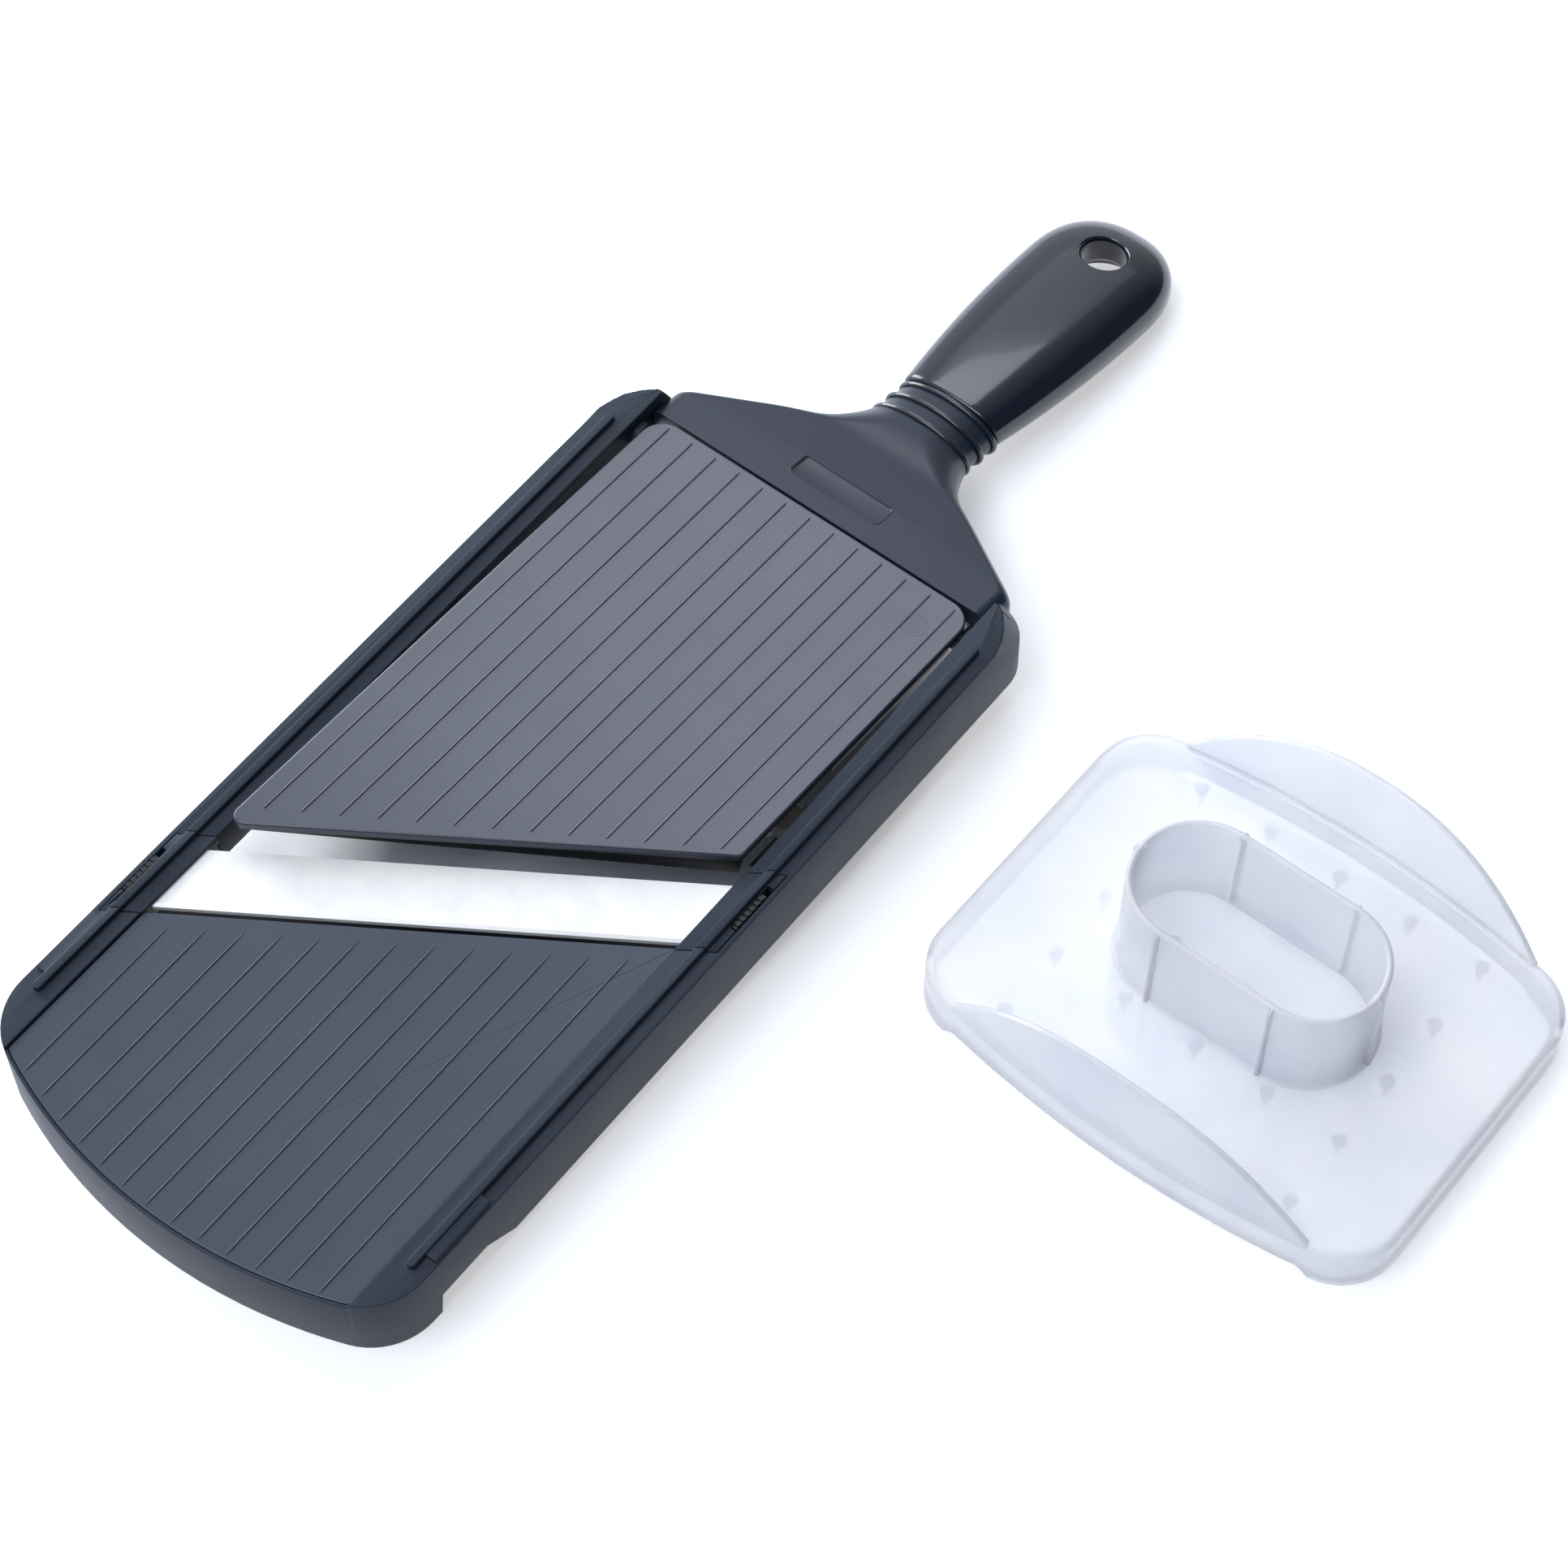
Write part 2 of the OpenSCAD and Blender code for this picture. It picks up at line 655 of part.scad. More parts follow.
// Ledge and skewed beam that carry the landing plate
module landing_seat() {
    translate([0, 0, landing_bottom - ledge_t]) linear_extrude(ledge_t) difference() {
        intersection() {
            outline(wall_t / 2);
            before(landing_rear_y - 2);
            translate([-rail_in - web_t / 2, -big]) square([2 * rail_in + web_t, 2 * big]);
        }
        intersection() {
            outline(wall_t + ledge_w);
            translate([-rail_in + ledge_w, -big]) square([2 * (rail_in - ledge_w), 2 * big]);
        }
    }
    translate([0, 0, pocket_z + 1]) linear_extrude(landing_bottom - pocket_z - 1)
        skew_patch(-rail_in - web_t / 2, rail_in + web_t / 2, landing_rear_y - 7, landing_rear_y - 2);
}

// Webs that hang from the inner edges of the rails
module rail_web() {
    translate([rail_in, fc_y + web_in, web_z])
        cube([web_t, rail_end_y - fc_y - web_in, rail_z - web_z]);
}

// Floor under one cheek of the cartridge
module pocket_floor(s) {
    translate([0, 0, pocket_z - 2]) linear_extrude(2)
        cheek_plan(s, rail_in + 1.5, half_w - wall_t / 2, 2.5);
    translate([0, 0, pocket_z - 2]) linear_extrude(rail_z - pocket_z) difference() {
        cheek_plan(s, rail_in, half_w - wall_t / 2, 2.5);
        cheek_plan(s, rail_in - eps, half_w, seam_gap);
    }
}

// Moulded deck: walls, rails, seats and bearing blocks
module body_frame() {
    color("#3a4049") on_deck() difference() {
        union() {
            deck_shell();
            landing_seat();
            for (s = [-1, 1]) pocket_floor(s);
            both_sides() {
                rail_web();
                guide_rib_solid();
                bearing_block();
                hinge_boss();
                rear_shoulder();
            }
            yoke_bar();
        }
        for (s = [-1, 1]) {
            translate([0, 0, pocket_z]) linear_extrude(big)
                cheek_plan(s, rail_in - eps, slit_x, seam_gap);
        }
        translate([0, 0, landing_bottom]) linear_extrude(landing_t) intersection() {
            outline(lip_t);
            before(landing_rear_y + 1);
            translate([-rail_in, -big]) square([2 * rail_in, 2 * big]);
        }
        bowl_notch();
        rod_at_shaft(-bearing_x1 + 1, bearing_x1 - 1, shaft_r + shaft_gap);
        for (s = [-1, 1]) {
            translate([0, hinge_y, hinge_z])
                rod_x(s > 0 ? pin_x0 : -pin_x1, s > 0 ? pin_x1 : -pin_x0, pin_r);
        }
        cap_screw_shanks();
        yoke_screw_shanks();
        translate([-rail_in, yoke_y, bar_z]) cube([2 * rail_in, big, big]);
        rotate([-deck_tilt, 0, 0]) translate([-big, -big, -big]) cube([2 * big, 2 * big, big]);
    }
}

// Guide rib and guard stop, above the rail top only
module guide_rib_solid() {
    difference() {
        guide_rib();
        translate([0, 0, -eps]) linear_extrude(rail_z - rail_t / 2 + eps) square(2 * big, center = true);
    }
    translate([guide_x, notch_y + 1, rail_z - rail_t / 2])
        cube([half_w - 0.8 - guide_x, stop_l, rail_t / 2 + stop_h]);
}

// Upper half of a shaft bearing
module bearing_block() {
    translate([bearing_x0, shaft_y - bearing_l / 2, shaft_z])
        cube([bearing_x1 - bearing_x0 + eps, bearing_l, rail_z - shaft_z - rail_t / 2]);
}

// Boss that holds a hinge pin
module hinge_boss() {
    translate([0, hinge_y, hinge_z]) rod_x(boss_x0, boss_x0 + boss_l, boss_r);
}

// Shoulder that fills a rear corner beside the yoke
module rear_shoulder() {
    intersection() {
        hull() {
            translate([rc_x, rc_y, 0]) cylinder(h = rail_z, r = rear_corner_r);
            translate([shoulder_x, shoulder_y, 0]) cylinder(h = shoulder_h, r = shoulder_r);
        }
        linear_extrude(big) difference() {
            translate([yoke_front_hw + yoke_gap, rc_y - rear_corner_r / 2]) square(big);
            outline(wall_t / 2);
        }
    }
}

// Crossbar under the front of the yoke
module yoke_bar() {
    translate([0, 0, bar_z - bar_t]) linear_extrude(bar_t) intersection() {
        outline(wall_t / 2);
        translate([-big, bar_y]) square([2 * big, bar_l]);
    }
}

// Notch that hooks over the rim of a bowl
module bowl_notch() {
    along_x(-big, big)
        polygon([[notch_y, -big], [notch_y, 0], [notch_y + 1, notch_h],
                 [notch_y + notch_l - notch_ramp, notch_h], [notch_y + notch_l, 0],
                 [notch_y + notch_l, -big]]);
}

// A round bar on the axis of the cam shaft
module rod_at_shaft(x0, x1, r) {
    translate([0, shaft_y, shaft_z]) rod_x(x0, x1, r);
}

// Places of the ribs across a plate, as many as stand whole on its half width
function rib_places(half_width) =
    [for (i = [0 : rib_n - 1])
        let (x = (i - (rib_n - 1) / 2) * rib_pitch) if (abs(x) + rib_w / 2 < half_width) x];

// Fine rib from y0 to y1, standing on z
module fine_rib(x, y0, y1, z) {
    translate([x - rib_w / 2, y0, z - 0.1]) cube([rib_w, y1 - y0, rib_h + 0.1]);
}

// Front plate that slices slide away over
module landing_plate() {
    color("#4d5462") on_deck() {
        translate([0, 0, landing_bottom]) linear_extrude(landing_t) landing_plan();
        for (x = rib_places(rail_in - landing_gap)) {
            fine_rib(x, front_cy - sqrt(pow(front_r - lip_t - 0.6, 2) - x * x),
                     landing_rear_y - 5 + x * skew, landing_z);
        }
    }
}

// Plan of the landing plate
module landing_plan() {
    intersection() {
        outline(lip_t + landing_gap);
        before(landing_rear_y);
        translate([-rail_in + landing_gap, -big]) square([2 * (rail_in - landing_gap), 2 * big]);
    }
}

// Yoke, neck and tang in one moulding
module handle_yoke() {
    color("#3d434d") on_deck() difference() {
        union() {
            yoke_solid();
            tang(0);
        }
        yoke_notches();
        yoke_pockets();
        yoke_screw_shanks();
        grip_screw_shank();
        badge();
    }
}

// Yoke and neck before anything is cut from them
module yoke_solid() {
    loft([for (i = [0 : yoke_n]) yoke_ring(mix(yoke_y, yoke_rear_y, i / yoke_n))]);
}

// Room for the crossbar and the ends of the rails
module yoke_notches() {
    translate([-big, -big, -big]) cube([2 * big, big + bar_y + bar_l + 0.2, big + bar_z]);
    for (s = [0, 1]) mirror([s, 0, 0])
        translate([rail_in - 0.2, -big, -big]) cube([big, rail_end_y + 0.2 + big, 2 * big]);
}

// Plan of the yoke inside its side walls
module yoke_inner_plan() {
    ys = [for (i = [0 : yoke_n]) mix(yoke_y, fillet_cy, i / yoke_n)];
    wall = yoke_skin / flank_ny;
    polygon(concat(
        [for (y = ys) [yoke_half(y) - wall, y]],
        [for (i = [yoke_n : -1 : 0]) [wall - yoke_half(ys[i]), ys[i]]]));
}

// Hollows in the underside of the yoke
module yoke_pockets() {
    y0 = bar_y + bar_l + yoke_skin;
    translate([0, 0, -big]) linear_extrude(big + yoke_z - yoke_roof) intersection() {
        yoke_inner_plan();
        difference() {
            translate([-big, y0]) square([2 * big, pocket_end_y - y0]);
            for (s = [-1, 1])
                translate([s * yoke_rib_x - yoke_rib_t / 2, 0]) square([yoke_rib_t, big]);
        }
    }
}

// Blank recess on the yoke
module badge() {
    z = yoke_z - yoke_fall * (badge_y - yoke_y);
    translate([0, badge_y, z]) rotate([-atan(yoke_fall), 0, 0])
        translate([0, 0, -badge_depth]) linear_extrude(badge_depth + 2) {
            square([badge_l, badge_w - 2 * badge_r], center = true);
            square([badge_l - 2 * badge_r, badge_w], center = true);
            for (x = [-1, 1], y = [-1, 1])
                translate([x * (badge_l / 2 - badge_r), y * (badge_w / 2 - badge_r)]) circle(badge_r);
        }
}

// Tang inside the handle, larger all round by grow
module tang(grow) {
    translate([0, tang_y, tang_z]) rotate([-tang_deg, 0, 0])
        translate([-tang_w / 2 - grow, 0, -tang_t / 2 - grow])
            cube([tang_w + 2 * grow, tang_l + grow, tang_t + 2 * grow]);
}

// A closed solid through rings of points
module loft(rings) {
    n = len(rings[0]);
    m = len(rings);
    polyhedron(
        points = [for (r = rings) each r],
        faces = concat(
            [[for (k = [0 : n - 1]) n - 1 - k]],
            [[for (k = [0 : n - 1]) (m - 1) * n + k]],
            [for (i = [0 : m - 2], k = [0 : n - 1])
                let (a = i * n + k, b = i * n + (k + 1) % n) [a, b, b + n]],
            [for (i = [0 : m - 2], k = [0 : n - 1])
                let (a = i * n + k, b = i * n + (k + 1) % n) [a, b + n, a + n]]));
}

// Glossy handle grip with its hanging hole
module handle_grip() {
    color("#2b323c") on_deck() difference() {
        loft([for (i = [0 : grip_n]) grip_ring(grip_station(i))]);
        tang(tang_gap);
        translate([0, hang_y, hang_top_z - hang_t - eps]) cylinder(h = hang_t + 2 * eps, r = hang_r);
        translate([0, hang_y, hang_top_z]) cylinder(h = big, r = hang_rim_r);
        translate([0, hang_y, hang_top_z - hang_t - big]) cylinder(h = big, r = hang_rim_r);
        grip_screw_shank();
        grip_screw_head(true);
    }
}

// Shank of the screw between grip and tang
module grip_screw_shank() {
    translate([0, grip_screw_y, grip_line(grip_screw_y) - grip_screw_down - eps])
        cylinder(h = grip_screw_down + grip_screw_up + eps, r = grip_screw_r);
}

// Head of that screw, or the well below it when deeper is true
module grip_screw_head(deeper) {
    depth = grip_head_t + (deeper ? big : 0);
    translate([0, grip_screw_y, grip_line(grip_screw_y) - grip_screw_down - depth])
        cylinder(h = depth, r = grip_head_r);
}

// Screw from below through the grip into the tang
module grip_screw() {
    color("silver") on_deck() {
        grip_screw_shank();
        grip_screw_head(false);
    }
}

// Three rings round the neck
module neck_rings() {
    color("#20262e") on_deck() difference() {
        for (i = [0 : 2]) loft([for (d = [-0.5, 0.5]) neck_ring(ring_y + i * ring_pitch + d * ring_w)]);
        yoke_solid();
    }
}

// Places for the screws between crossbar and yoke
module at_yoke_screws() {
    for (x = [-yoke_screw_x, 0, yoke_screw_x]) translate([x, yoke_screw_y, bar_z - bar_t]) children();
}

// Shanks of the yoke screws
module yoke_screw_shanks() {
    at_yoke_screws() cylinder(h = yoke_screw_l, r = yoke_screw_r);
}

// Screws between crossbar and yoke
module yoke_screws() {
    color("silver") on_deck() {
        yoke_screw_shanks();
        at_yoke_screws() translate([0, 0, -yoke_head_t]) cylinder(h = yoke_head_t, r = yoke_head_r);
    }
}

// Two cheeks joined by a bridge below the blade
module blade_carrier() {
    color("#333a44") on_deck() {
        for (s = [-1, 1]) difference() {
            union() {
                translate([0, 0, carrier_z]) linear_extrude(rail_z - carrier_z)
                    cheek_plan(s, cheek_in, cheek_out, 0);
                intersection() {
                    mirror([s < 0 ? 1 : 0, 0, 0]) translate([0, 0, rail_z - rail_t / 2])
                        linear_extrude(rail_t / 2 + guide_h)
                            translate([guide_x - guide_w / 2, 0]) square([guide_w, big]);
                    linear_extrude(big) cheek_plan(s, cheek_in, cheek_out, 0);
                }
            }
            translate([0, 0, carrier_z - eps]) linear_extrude(blade_bottom - carrier_z + eps)
                cheek_plan(s, cheek_in - eps, clamp_out + 0.1, eps);
            translate([0, 0, blade_bottom - eps]) blade_slab(blade_t + eps + 0.05, 0.05);
            latch_slot(s);
            clamp_screw_shanks(s);
        }
        translate([0, 0, carrier_z]) linear_extrude(bridge_t)
            skew_patch(-slit_x + 2.8, slit_x - 2.8, bridge_y, bridge_y + bridge_w);
        translate([0, 0, carrier_z]) linear_extrude(blade_bottom - carrier_z)
            skew_patch(-cheek_in + 1, cheek_in - 1, bridge_y, bridge_y + bridge_w);
    }
}

// Block of the blade's plan with a little play
module blade_slab(height, play) {
    linear_extrude(height)
        skew_patch(-blade_half_l - play, blade_half_l + play,
                   blade_y - play, blade_y + blade_len_y + play);
}

// Ceramic strip with a ground cutting edge at the rear
module ceramic_blade() {
    color("white") on_deck() intersection() {
        translate([0, blade_y, blade_bottom]) along_skew(2 * big)
            polygon([[0, 0], [0, blade_t - 0.5], [0.9, blade_t], [blade_w, blade_t],
                     [blade_w, blade_t - edge_t], [blade_w - bevel_w, 0]]);
        translate([-blade_half_l, -big, 0]) cube([2 * blade_half_l, 3 * big, big]);
    }
}

// Clamp bars under the blade's two ends
module blade_clamps() {
    color("#2b3038") on_deck() for (s = [-1, 1]) difference() {
        translate([0, 0, clamp_z]) linear_extrude(clamp_t)
            cheek_plan(s, clamp_in, clamp_out, -0.1);
        clamp_screw_shanks(s);
    }
}

// Places for the two clamp screws of one side
module at_clamp_screws(s) {
    x = s * (clamp_in + clamp_out) / 2;
    for (y = [(cheek_y0 + blade_y) / 2 - 0.1, cheek_y1 - cheek_rear / 2 + 0.1])
        translate([x, y + x * skew, clamp_z]) children();
}

// Shanks of the clamp screws of one side
module clamp_screw_shanks(s) {
    at_clamp_screws(s) cylinder(h = clamp_t + 2.2, r = clamp_screw_r);
}

// Screws that close the clamp bars
module clamp_screws() {
    color("silver") on_deck() for (s = [-1, 1]) {
        clamp_screw_shanks(s);
        at_clamp_screws(s) translate([0, 0, -0.8]) cylinder(h = 0.8, r = clamp_head_r);
    }
}

// Slot that a latch slides in
module latch_slot(s) {
    y = latch_mid_y + s * latch_x1 * skew - latch_l / 2 - latch_gap;
    length = latch_l + latch_travel + 2 * latch_gap;
    mirror([s < 0 ? 1 : 0, 0, 0]) {
        translate([latch_x0 - latch_gap, y, latch_foot_z]) cube([big, length, big]);
        translate([latch_foot_x0 - latch_gap, y, latch_foot_z - latch_gap])
            cube([big, length, latch_foot_h + 2 * latch_gap]);
    }
}

// Latch slider with a foot below and grip teeth on top
module latch(s) {
    y = latch_mid_y + s * latch_x1 * skew - latch_l / 2;
    tooth = latch_l / (2 * latch_teeth + 1);
    mirror([s < 0 ? 1 : 0, 0, 0]) {
        translate([latch_foot_x0, y, latch_foot_z]) cube([latch_x1 - latch_foot_x0, latch_l, latch_foot_h]);
        translate([latch_x0, y, latch_foot_z]) cube([latch_w, latch_l, rail_z - latch_foot_z]);
        for (i = [0 : latch_teeth - 1])
            translate([latch_x0, y + (2 * i + 1) * tooth, rail_z - 0.1])
                cube([latch_w, tooth, latch_proud + 0.1]);
    }
}

// Latch on the left
module left_latch() {
    color("#2b3038") on_deck() latch(-1);
}

// Latch on the right
module right_latch() {
    color("#2b3038") on_deck() latch(1);
}

// Puts the feed plate's own axes at its hinge, in the closed position
module at_plate() {
    translate([0, hinge_y, hinge_z]) rotate([-closed_deg, 0, 0]) children();
}

// Adjustable plate with its ribs and hinge ears
module feed_plate() {
    color("#6c7080") on_deck() at_plate() difference() {
        union() {
            translate([0, 0, plate_under]) linear_extrude(plate_t) plate_plan();
            for (x = rib_places(plate_w / 2)) {
                fine_rib(x, -plate_reach + x * skew + 2, plate_tail - 2, plate_top);
            }
            both_sides() {
                rod_x(ear_x, ear_x + ear_w, ear_r);
                translate([ear_x, -ear_r, 0]) cube([ear_w, 2 * ear_r, plate_under + 0.2]);
                translate([plate_w / 2 - 0.6 - edge_bar_w, edge_bar_y, plate_under - edge_bar_h])
                    cube([edge_bar_w, -edge_bar_y - ear_r - 2, edge_bar_h + 0.2]);
            }
        }
        rod_x(-big, big, pin_r + pin_gap);
    }
}

// Plan of the feed plate, from its hinge axis
module plate_plan() {
    hw = plate_w / 2;
    r = plate_corner_r;
    difference() {
        union() {
            translate([-hw, -big]) square([plate_w, big + plate_tail - r]);
            translate([-hw + r, -big]) square([plate_w - 2 * r, big + plate_tail]);
            for (s = [-1, 1]) translate([s * (hw - r), plate_tail - r]) circle(r);
        }
        before(-plate_reach);
    }
}

// Black strip under the front edge of the feed plate
module plate_edge_strip() {
    color("#15181d") on_deck() at_plate()
        translate([0, 0, plate_under - strip_h]) linear_extrude(strip_h)
            skew_patch(-plate_w / 2 + 0.6, plate_w / 2 - 0.6, -plate_reach + 0.3,
                       -plate_reach + 0.3 + strip_t / cos(skew_deg));
}

// Steel pins that the feed plate turns on
module hinge_pins() {
    color("silver") on_deck() both_sides()
        translate([0, hinge_y, hinge_z]) rod_x(pin_x0, pin_x1, pin_r);
}

// Point i of a spring's path, with a leg at each end
function spring_point(i) =
    let (a = 360 * i / spring_steps) [spring_lead * i / spring_steps, spring_r * sin(a), spring_r * cos(a)];
function ring_about(p, across, up, r) =
    [for (k = [0 : 5]) p + r * (cos(60 * k) * across + sin(60 * k) * up)];
function spring_ring(i) =
    let (a = 360 * i / spring_steps)
    ring_about(spring_point(i), [0, sin(a), cos(a)], [1, 0, 0], spring_wire_r);

// Torsion spring round a hinge pin
module plate_spring() {
    n = spring_turns * spring_steps;
    loft(concat(
        [ring_about([0, -spring_leg_rear, spring_r], [0, 0, 1], [1, 0, 0], spring_wire_r)],
        [for (i = [0 : n]) spring_ring(i)],
        [ring_about([spring_lead * spring_turns, spring_leg_front, spring_r],
                    [0, 0, 1], [1, 0, 0], spring_wire_r)]));
}

// Springs that press the feed plate down on its cams
module plate_springs() {
    color("silver") on_deck() both_sides()
        translate([pin_x0 + 0.9, hinge_y, hinge_z]) rotate([180, 0, 0]) plate_spring();
}

// Shaft across the deck
module cam_shaft() {
    color("#9aa0a8") on_deck() rod_at_shaft(-bearing_x1 + 1.6, bearing_x1 - 1.6, shaft_r);
}

// A cam whose lift keeps the plate's fall in step with the shaft's turn
module cam(x) {
    difference() {
        translate([0, shaft_y, shaft_z]) along_x(x - cam_w / 2, x + cam_w / 2) polygon(cam_outline);
        rod_at_shaft(x - cam_w, x + cam_w, shaft_r);
    }
}

// Cam on the left
module left_cam() {
    color("ivory") on_deck() cam(-cam_x);
}

// Cam on the right
module right_cam() {
    color("ivory") on_deck() cam(cam_x);
}

// Wheel with one notch for each setting
module click_wheel() {
    color("ivory") on_deck() difference() {
        rod_at_shaft(click_x, click_x + click_w, click_r);
        rod_at_shaft(click_x - eps, click_x + click_w + eps, shaft_r);
        for (i = [0 : 4]) translate([0, shaft_y, shaft_z]) rotate([-shaft_turn * i / 4 - 90, 0, 0])
            translate([0, click_r, 0]) rod_x(click_x - eps, click_x + click_w + eps, click_notch_r);
    }
}

// Fluted barrel that the thumb turns from below
module thumb_barrel() {
    color("#2b3038") on_deck() difference() {
        rod_at_shaft(-barrel_l / 2, barrel_l / 2, barrel_r);
        rod_at_shaft(-barrel_l, barrel_l, shaft_r);
        for (i = [0 : flute_n - 1]) translate([0, shaft_y, shaft_z]) rotate([360 * (i + 0.5) / flute_n, 0, 0])
            translate([0, barrel_r + flute_r * 0.4, 0]) rod_x(-barrel_l, barrel_l, flute_r);
        barrel_screw_solid();
    }
}

// Grub screw between barrel and shaft
module barrel_screw_solid() {
    translate([barrel_l / 4, shaft_y, shaft_z - barrel_r + 0.6])
        cylinder(h = barrel_r - shaft_r - 0.7, r = 1);
}

// Grub screw of the thumb barrel
module barrel_screw() {
    color("silver") on_deck() barrel_screw_solid();
}

// Places for the undersides of the four cap screws' shanks; one also holds the click spring
module at_cap_screws() {
    for (s = [-1, 1], t = [-1, 1])
        translate([s * cap_screw_x, shaft_y + t * cap_screw_dy,
                   cap_bottom - (s + t > 0 ? click_spring_t : 0)]) children();
}

// Shanks of the cap screws
module cap_screw_shanks() {
    at_cap_screws() cylinder(h = cap_screw_l, r = cap_screw_r);
}

// Lower halves of the shaft bearings
module bearing_caps() {
    color("#333a44") on_deck() difference() {
        both_sides() translate([bearing_x0 + 0.1, shaft_y - bearing_l / 2 + 0.1, cap_bottom])
            cube([bearing_x1 - bearing_x0 - 0.2, bearing_l - 0.2, cap_t]);
        rod_at_shaft(-bearing_x1 + 1, bearing_x1 - 1, shaft_r + shaft_gap);
        cap_screw_shanks();
    }
}

// Screws that hold the bearing caps
module cap_screws() {
    color("silver") on_deck() {
        cap_screw_shanks();
        at_cap_screws() translate([0, 0, -cap_head_t]) cylinder(h = cap_head_t, r = cap_head_r);
    }
}

// Flat spring under the click wheel, held by one cap screw
module click_spring() {
    color("silver") on_deck() difference() {
        translate([0, 0, cap_bottom - click_spring_t]) linear_extrude(click_spring_t) {
            translate([click_x + 0.2, shaft_y - click_spring_l])
                square([click_w - 0.4, click_spring_l + bearing_l / 2]);
            translate([click_x + 0.2, shaft_y + bearing_l / 2 - click_tab_l])
                square([cap_screw_x + cap_head_r - click_x - 0.2, click_tab_l]);
        }
        cap_screw_shanks();
    }
}

// Plan of the hand guard
module guard_plan(inset = 0) {
    r = guard_corner_r - inset;
    for (x = [-1, 1], y = [-1, 1])
        translate([x * (guard_hw - guard_corner_r), y * (guard_hl - guard_corner_r)]) circle(r);
    square([2 * (guard_hw - inset), 2 * (guard_hl - guard_corner_r)], center = true);
    square([2 * (guard_hw - guard_corner_r), 2 * (guard_hl - inset)], center = true);
    for (s = [0, 1]) mirror([0, s]) intersection() {
        translate([0, guard_hl + guard_bow - bow_r]) circle(bow_r - inset, $fn = 720);
        translate([-guard_chord, 0]) square([2 * guard_chord, big]);
    }
}

// Front view of an arched shield
module arch_profile() {
    polygon(concat(
        [for (i = [0 : arch_n])
            let (u = 2 * i / arch_n - 1)
            [guard_chord * u, guard_z + arch_h * (1 - pow(abs(u), arch_exp))]],
        [[guard_chord, guard_z - guard_t], [-guard_chord, guard_z - guard_t]]));
}

// Plan of the collar, drawn smaller all round by inset
module collar_plan(inset = 0) {
    for (s = [-1, 1])
        translate([s * (collar_l - collar_w) / 2, 0]) circle(collar_w / 2 - inset);
    square([collar_l - collar_w, collar_w - 2 * inset], center = true);
}

// Stiffening ribs on the outside of the collar
module collar_ribs() {
    for (x = [-1, 1]) translate([x * (collar_l - collar_w) / 2, 0, guard_z - eps])
        linear_extrude(collar_h + eps)
            square([collar_rib_w, collar_w + 2 * collar_rib_out], center = true);
    translate([0, 0, guard_z - eps]) linear_extrude(collar_h + eps)
        square([collar_l + 2 * collar_rib_out, collar_rib_w], center = true);
}

// Translucent guard that holds the food and shields the hand
module hand_guard() {
    color("#dfe5ee") translate([guard_x, guard_y, 0]) difference() {
        union() {
            linear_extrude(guard_z) guard_plan();
            for (s = [0, 1]) mirror([0, s, 0]) intersection() {
                rotate([90, 0, 0]) translate([0, 0, -big]) linear_extrude(big) arch_profile();
                translate([0, guard_hl + guard_bow - bow_r, 0]) linear_extrude(big) difference() {
                    circle(bow_r, $fn = 720);
                    circle(bow_r - guard_t, $fn = 720);
                }
            }
            translate([0, 0, guard_z - eps]) linear_extrude(collar_h + eps) collar_plan();
            collar_ribs();
        }
        difference() {
            translate([0, 0, -eps]) linear_extrude(guard_z - guard_t + eps) guard_plan(guard_t);
            spikes();
        }
        translate([0, 0, guard_z]) linear_extrude(big) collar_plan(collar_t);
        translate([-guard_chord, -big, -eps]) cube([2 * guard_chord, 2 * big, arch_gap + eps]);
    }
}

// Spikes that hold the food
module spikes() {
    mid = (spike_n - 1) / 2;
    for (i = [0 : spike_n - 1], k = [0 : spike_n - 1])
        translate([(i - mid) * spike_pitch_x, (k - mid) * spike_pitch_y, guard_z - guard_t - spike_l])
            cylinder(h = spike_l + eps, r1 = 0.3, r2 = spike_r);
}

body_frame();
landing_plate();
handle_yoke();
handle_grip();
neck_rings();
yoke_screws();
grip_screw();
blade_carrier();
ceramic_blade();
blade_clamps();
clamp_screws();
left_latch();
right_latch();
feed_plate();
plate_edge_strip();
hinge_pins();
plate_springs();
cam_shaft();
left_cam();
right_cam();
click_wheel();
thumb_barrel();
barrel_screw();
bearing_caps();
cap_screws();
click_spring();
hand_guard();
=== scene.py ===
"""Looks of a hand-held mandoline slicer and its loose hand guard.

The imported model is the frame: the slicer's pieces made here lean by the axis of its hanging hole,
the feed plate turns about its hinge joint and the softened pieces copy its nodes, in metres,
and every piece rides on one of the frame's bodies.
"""

import json
import logging
import math
from dataclasses import dataclass, field
from enum import Enum
from functools import cache
from typing import Iterable, Sequence

import bmesh
import bpy
from mathutils import Euler, Matrix, Vector
from mathutils.bvhtree import BVHTree


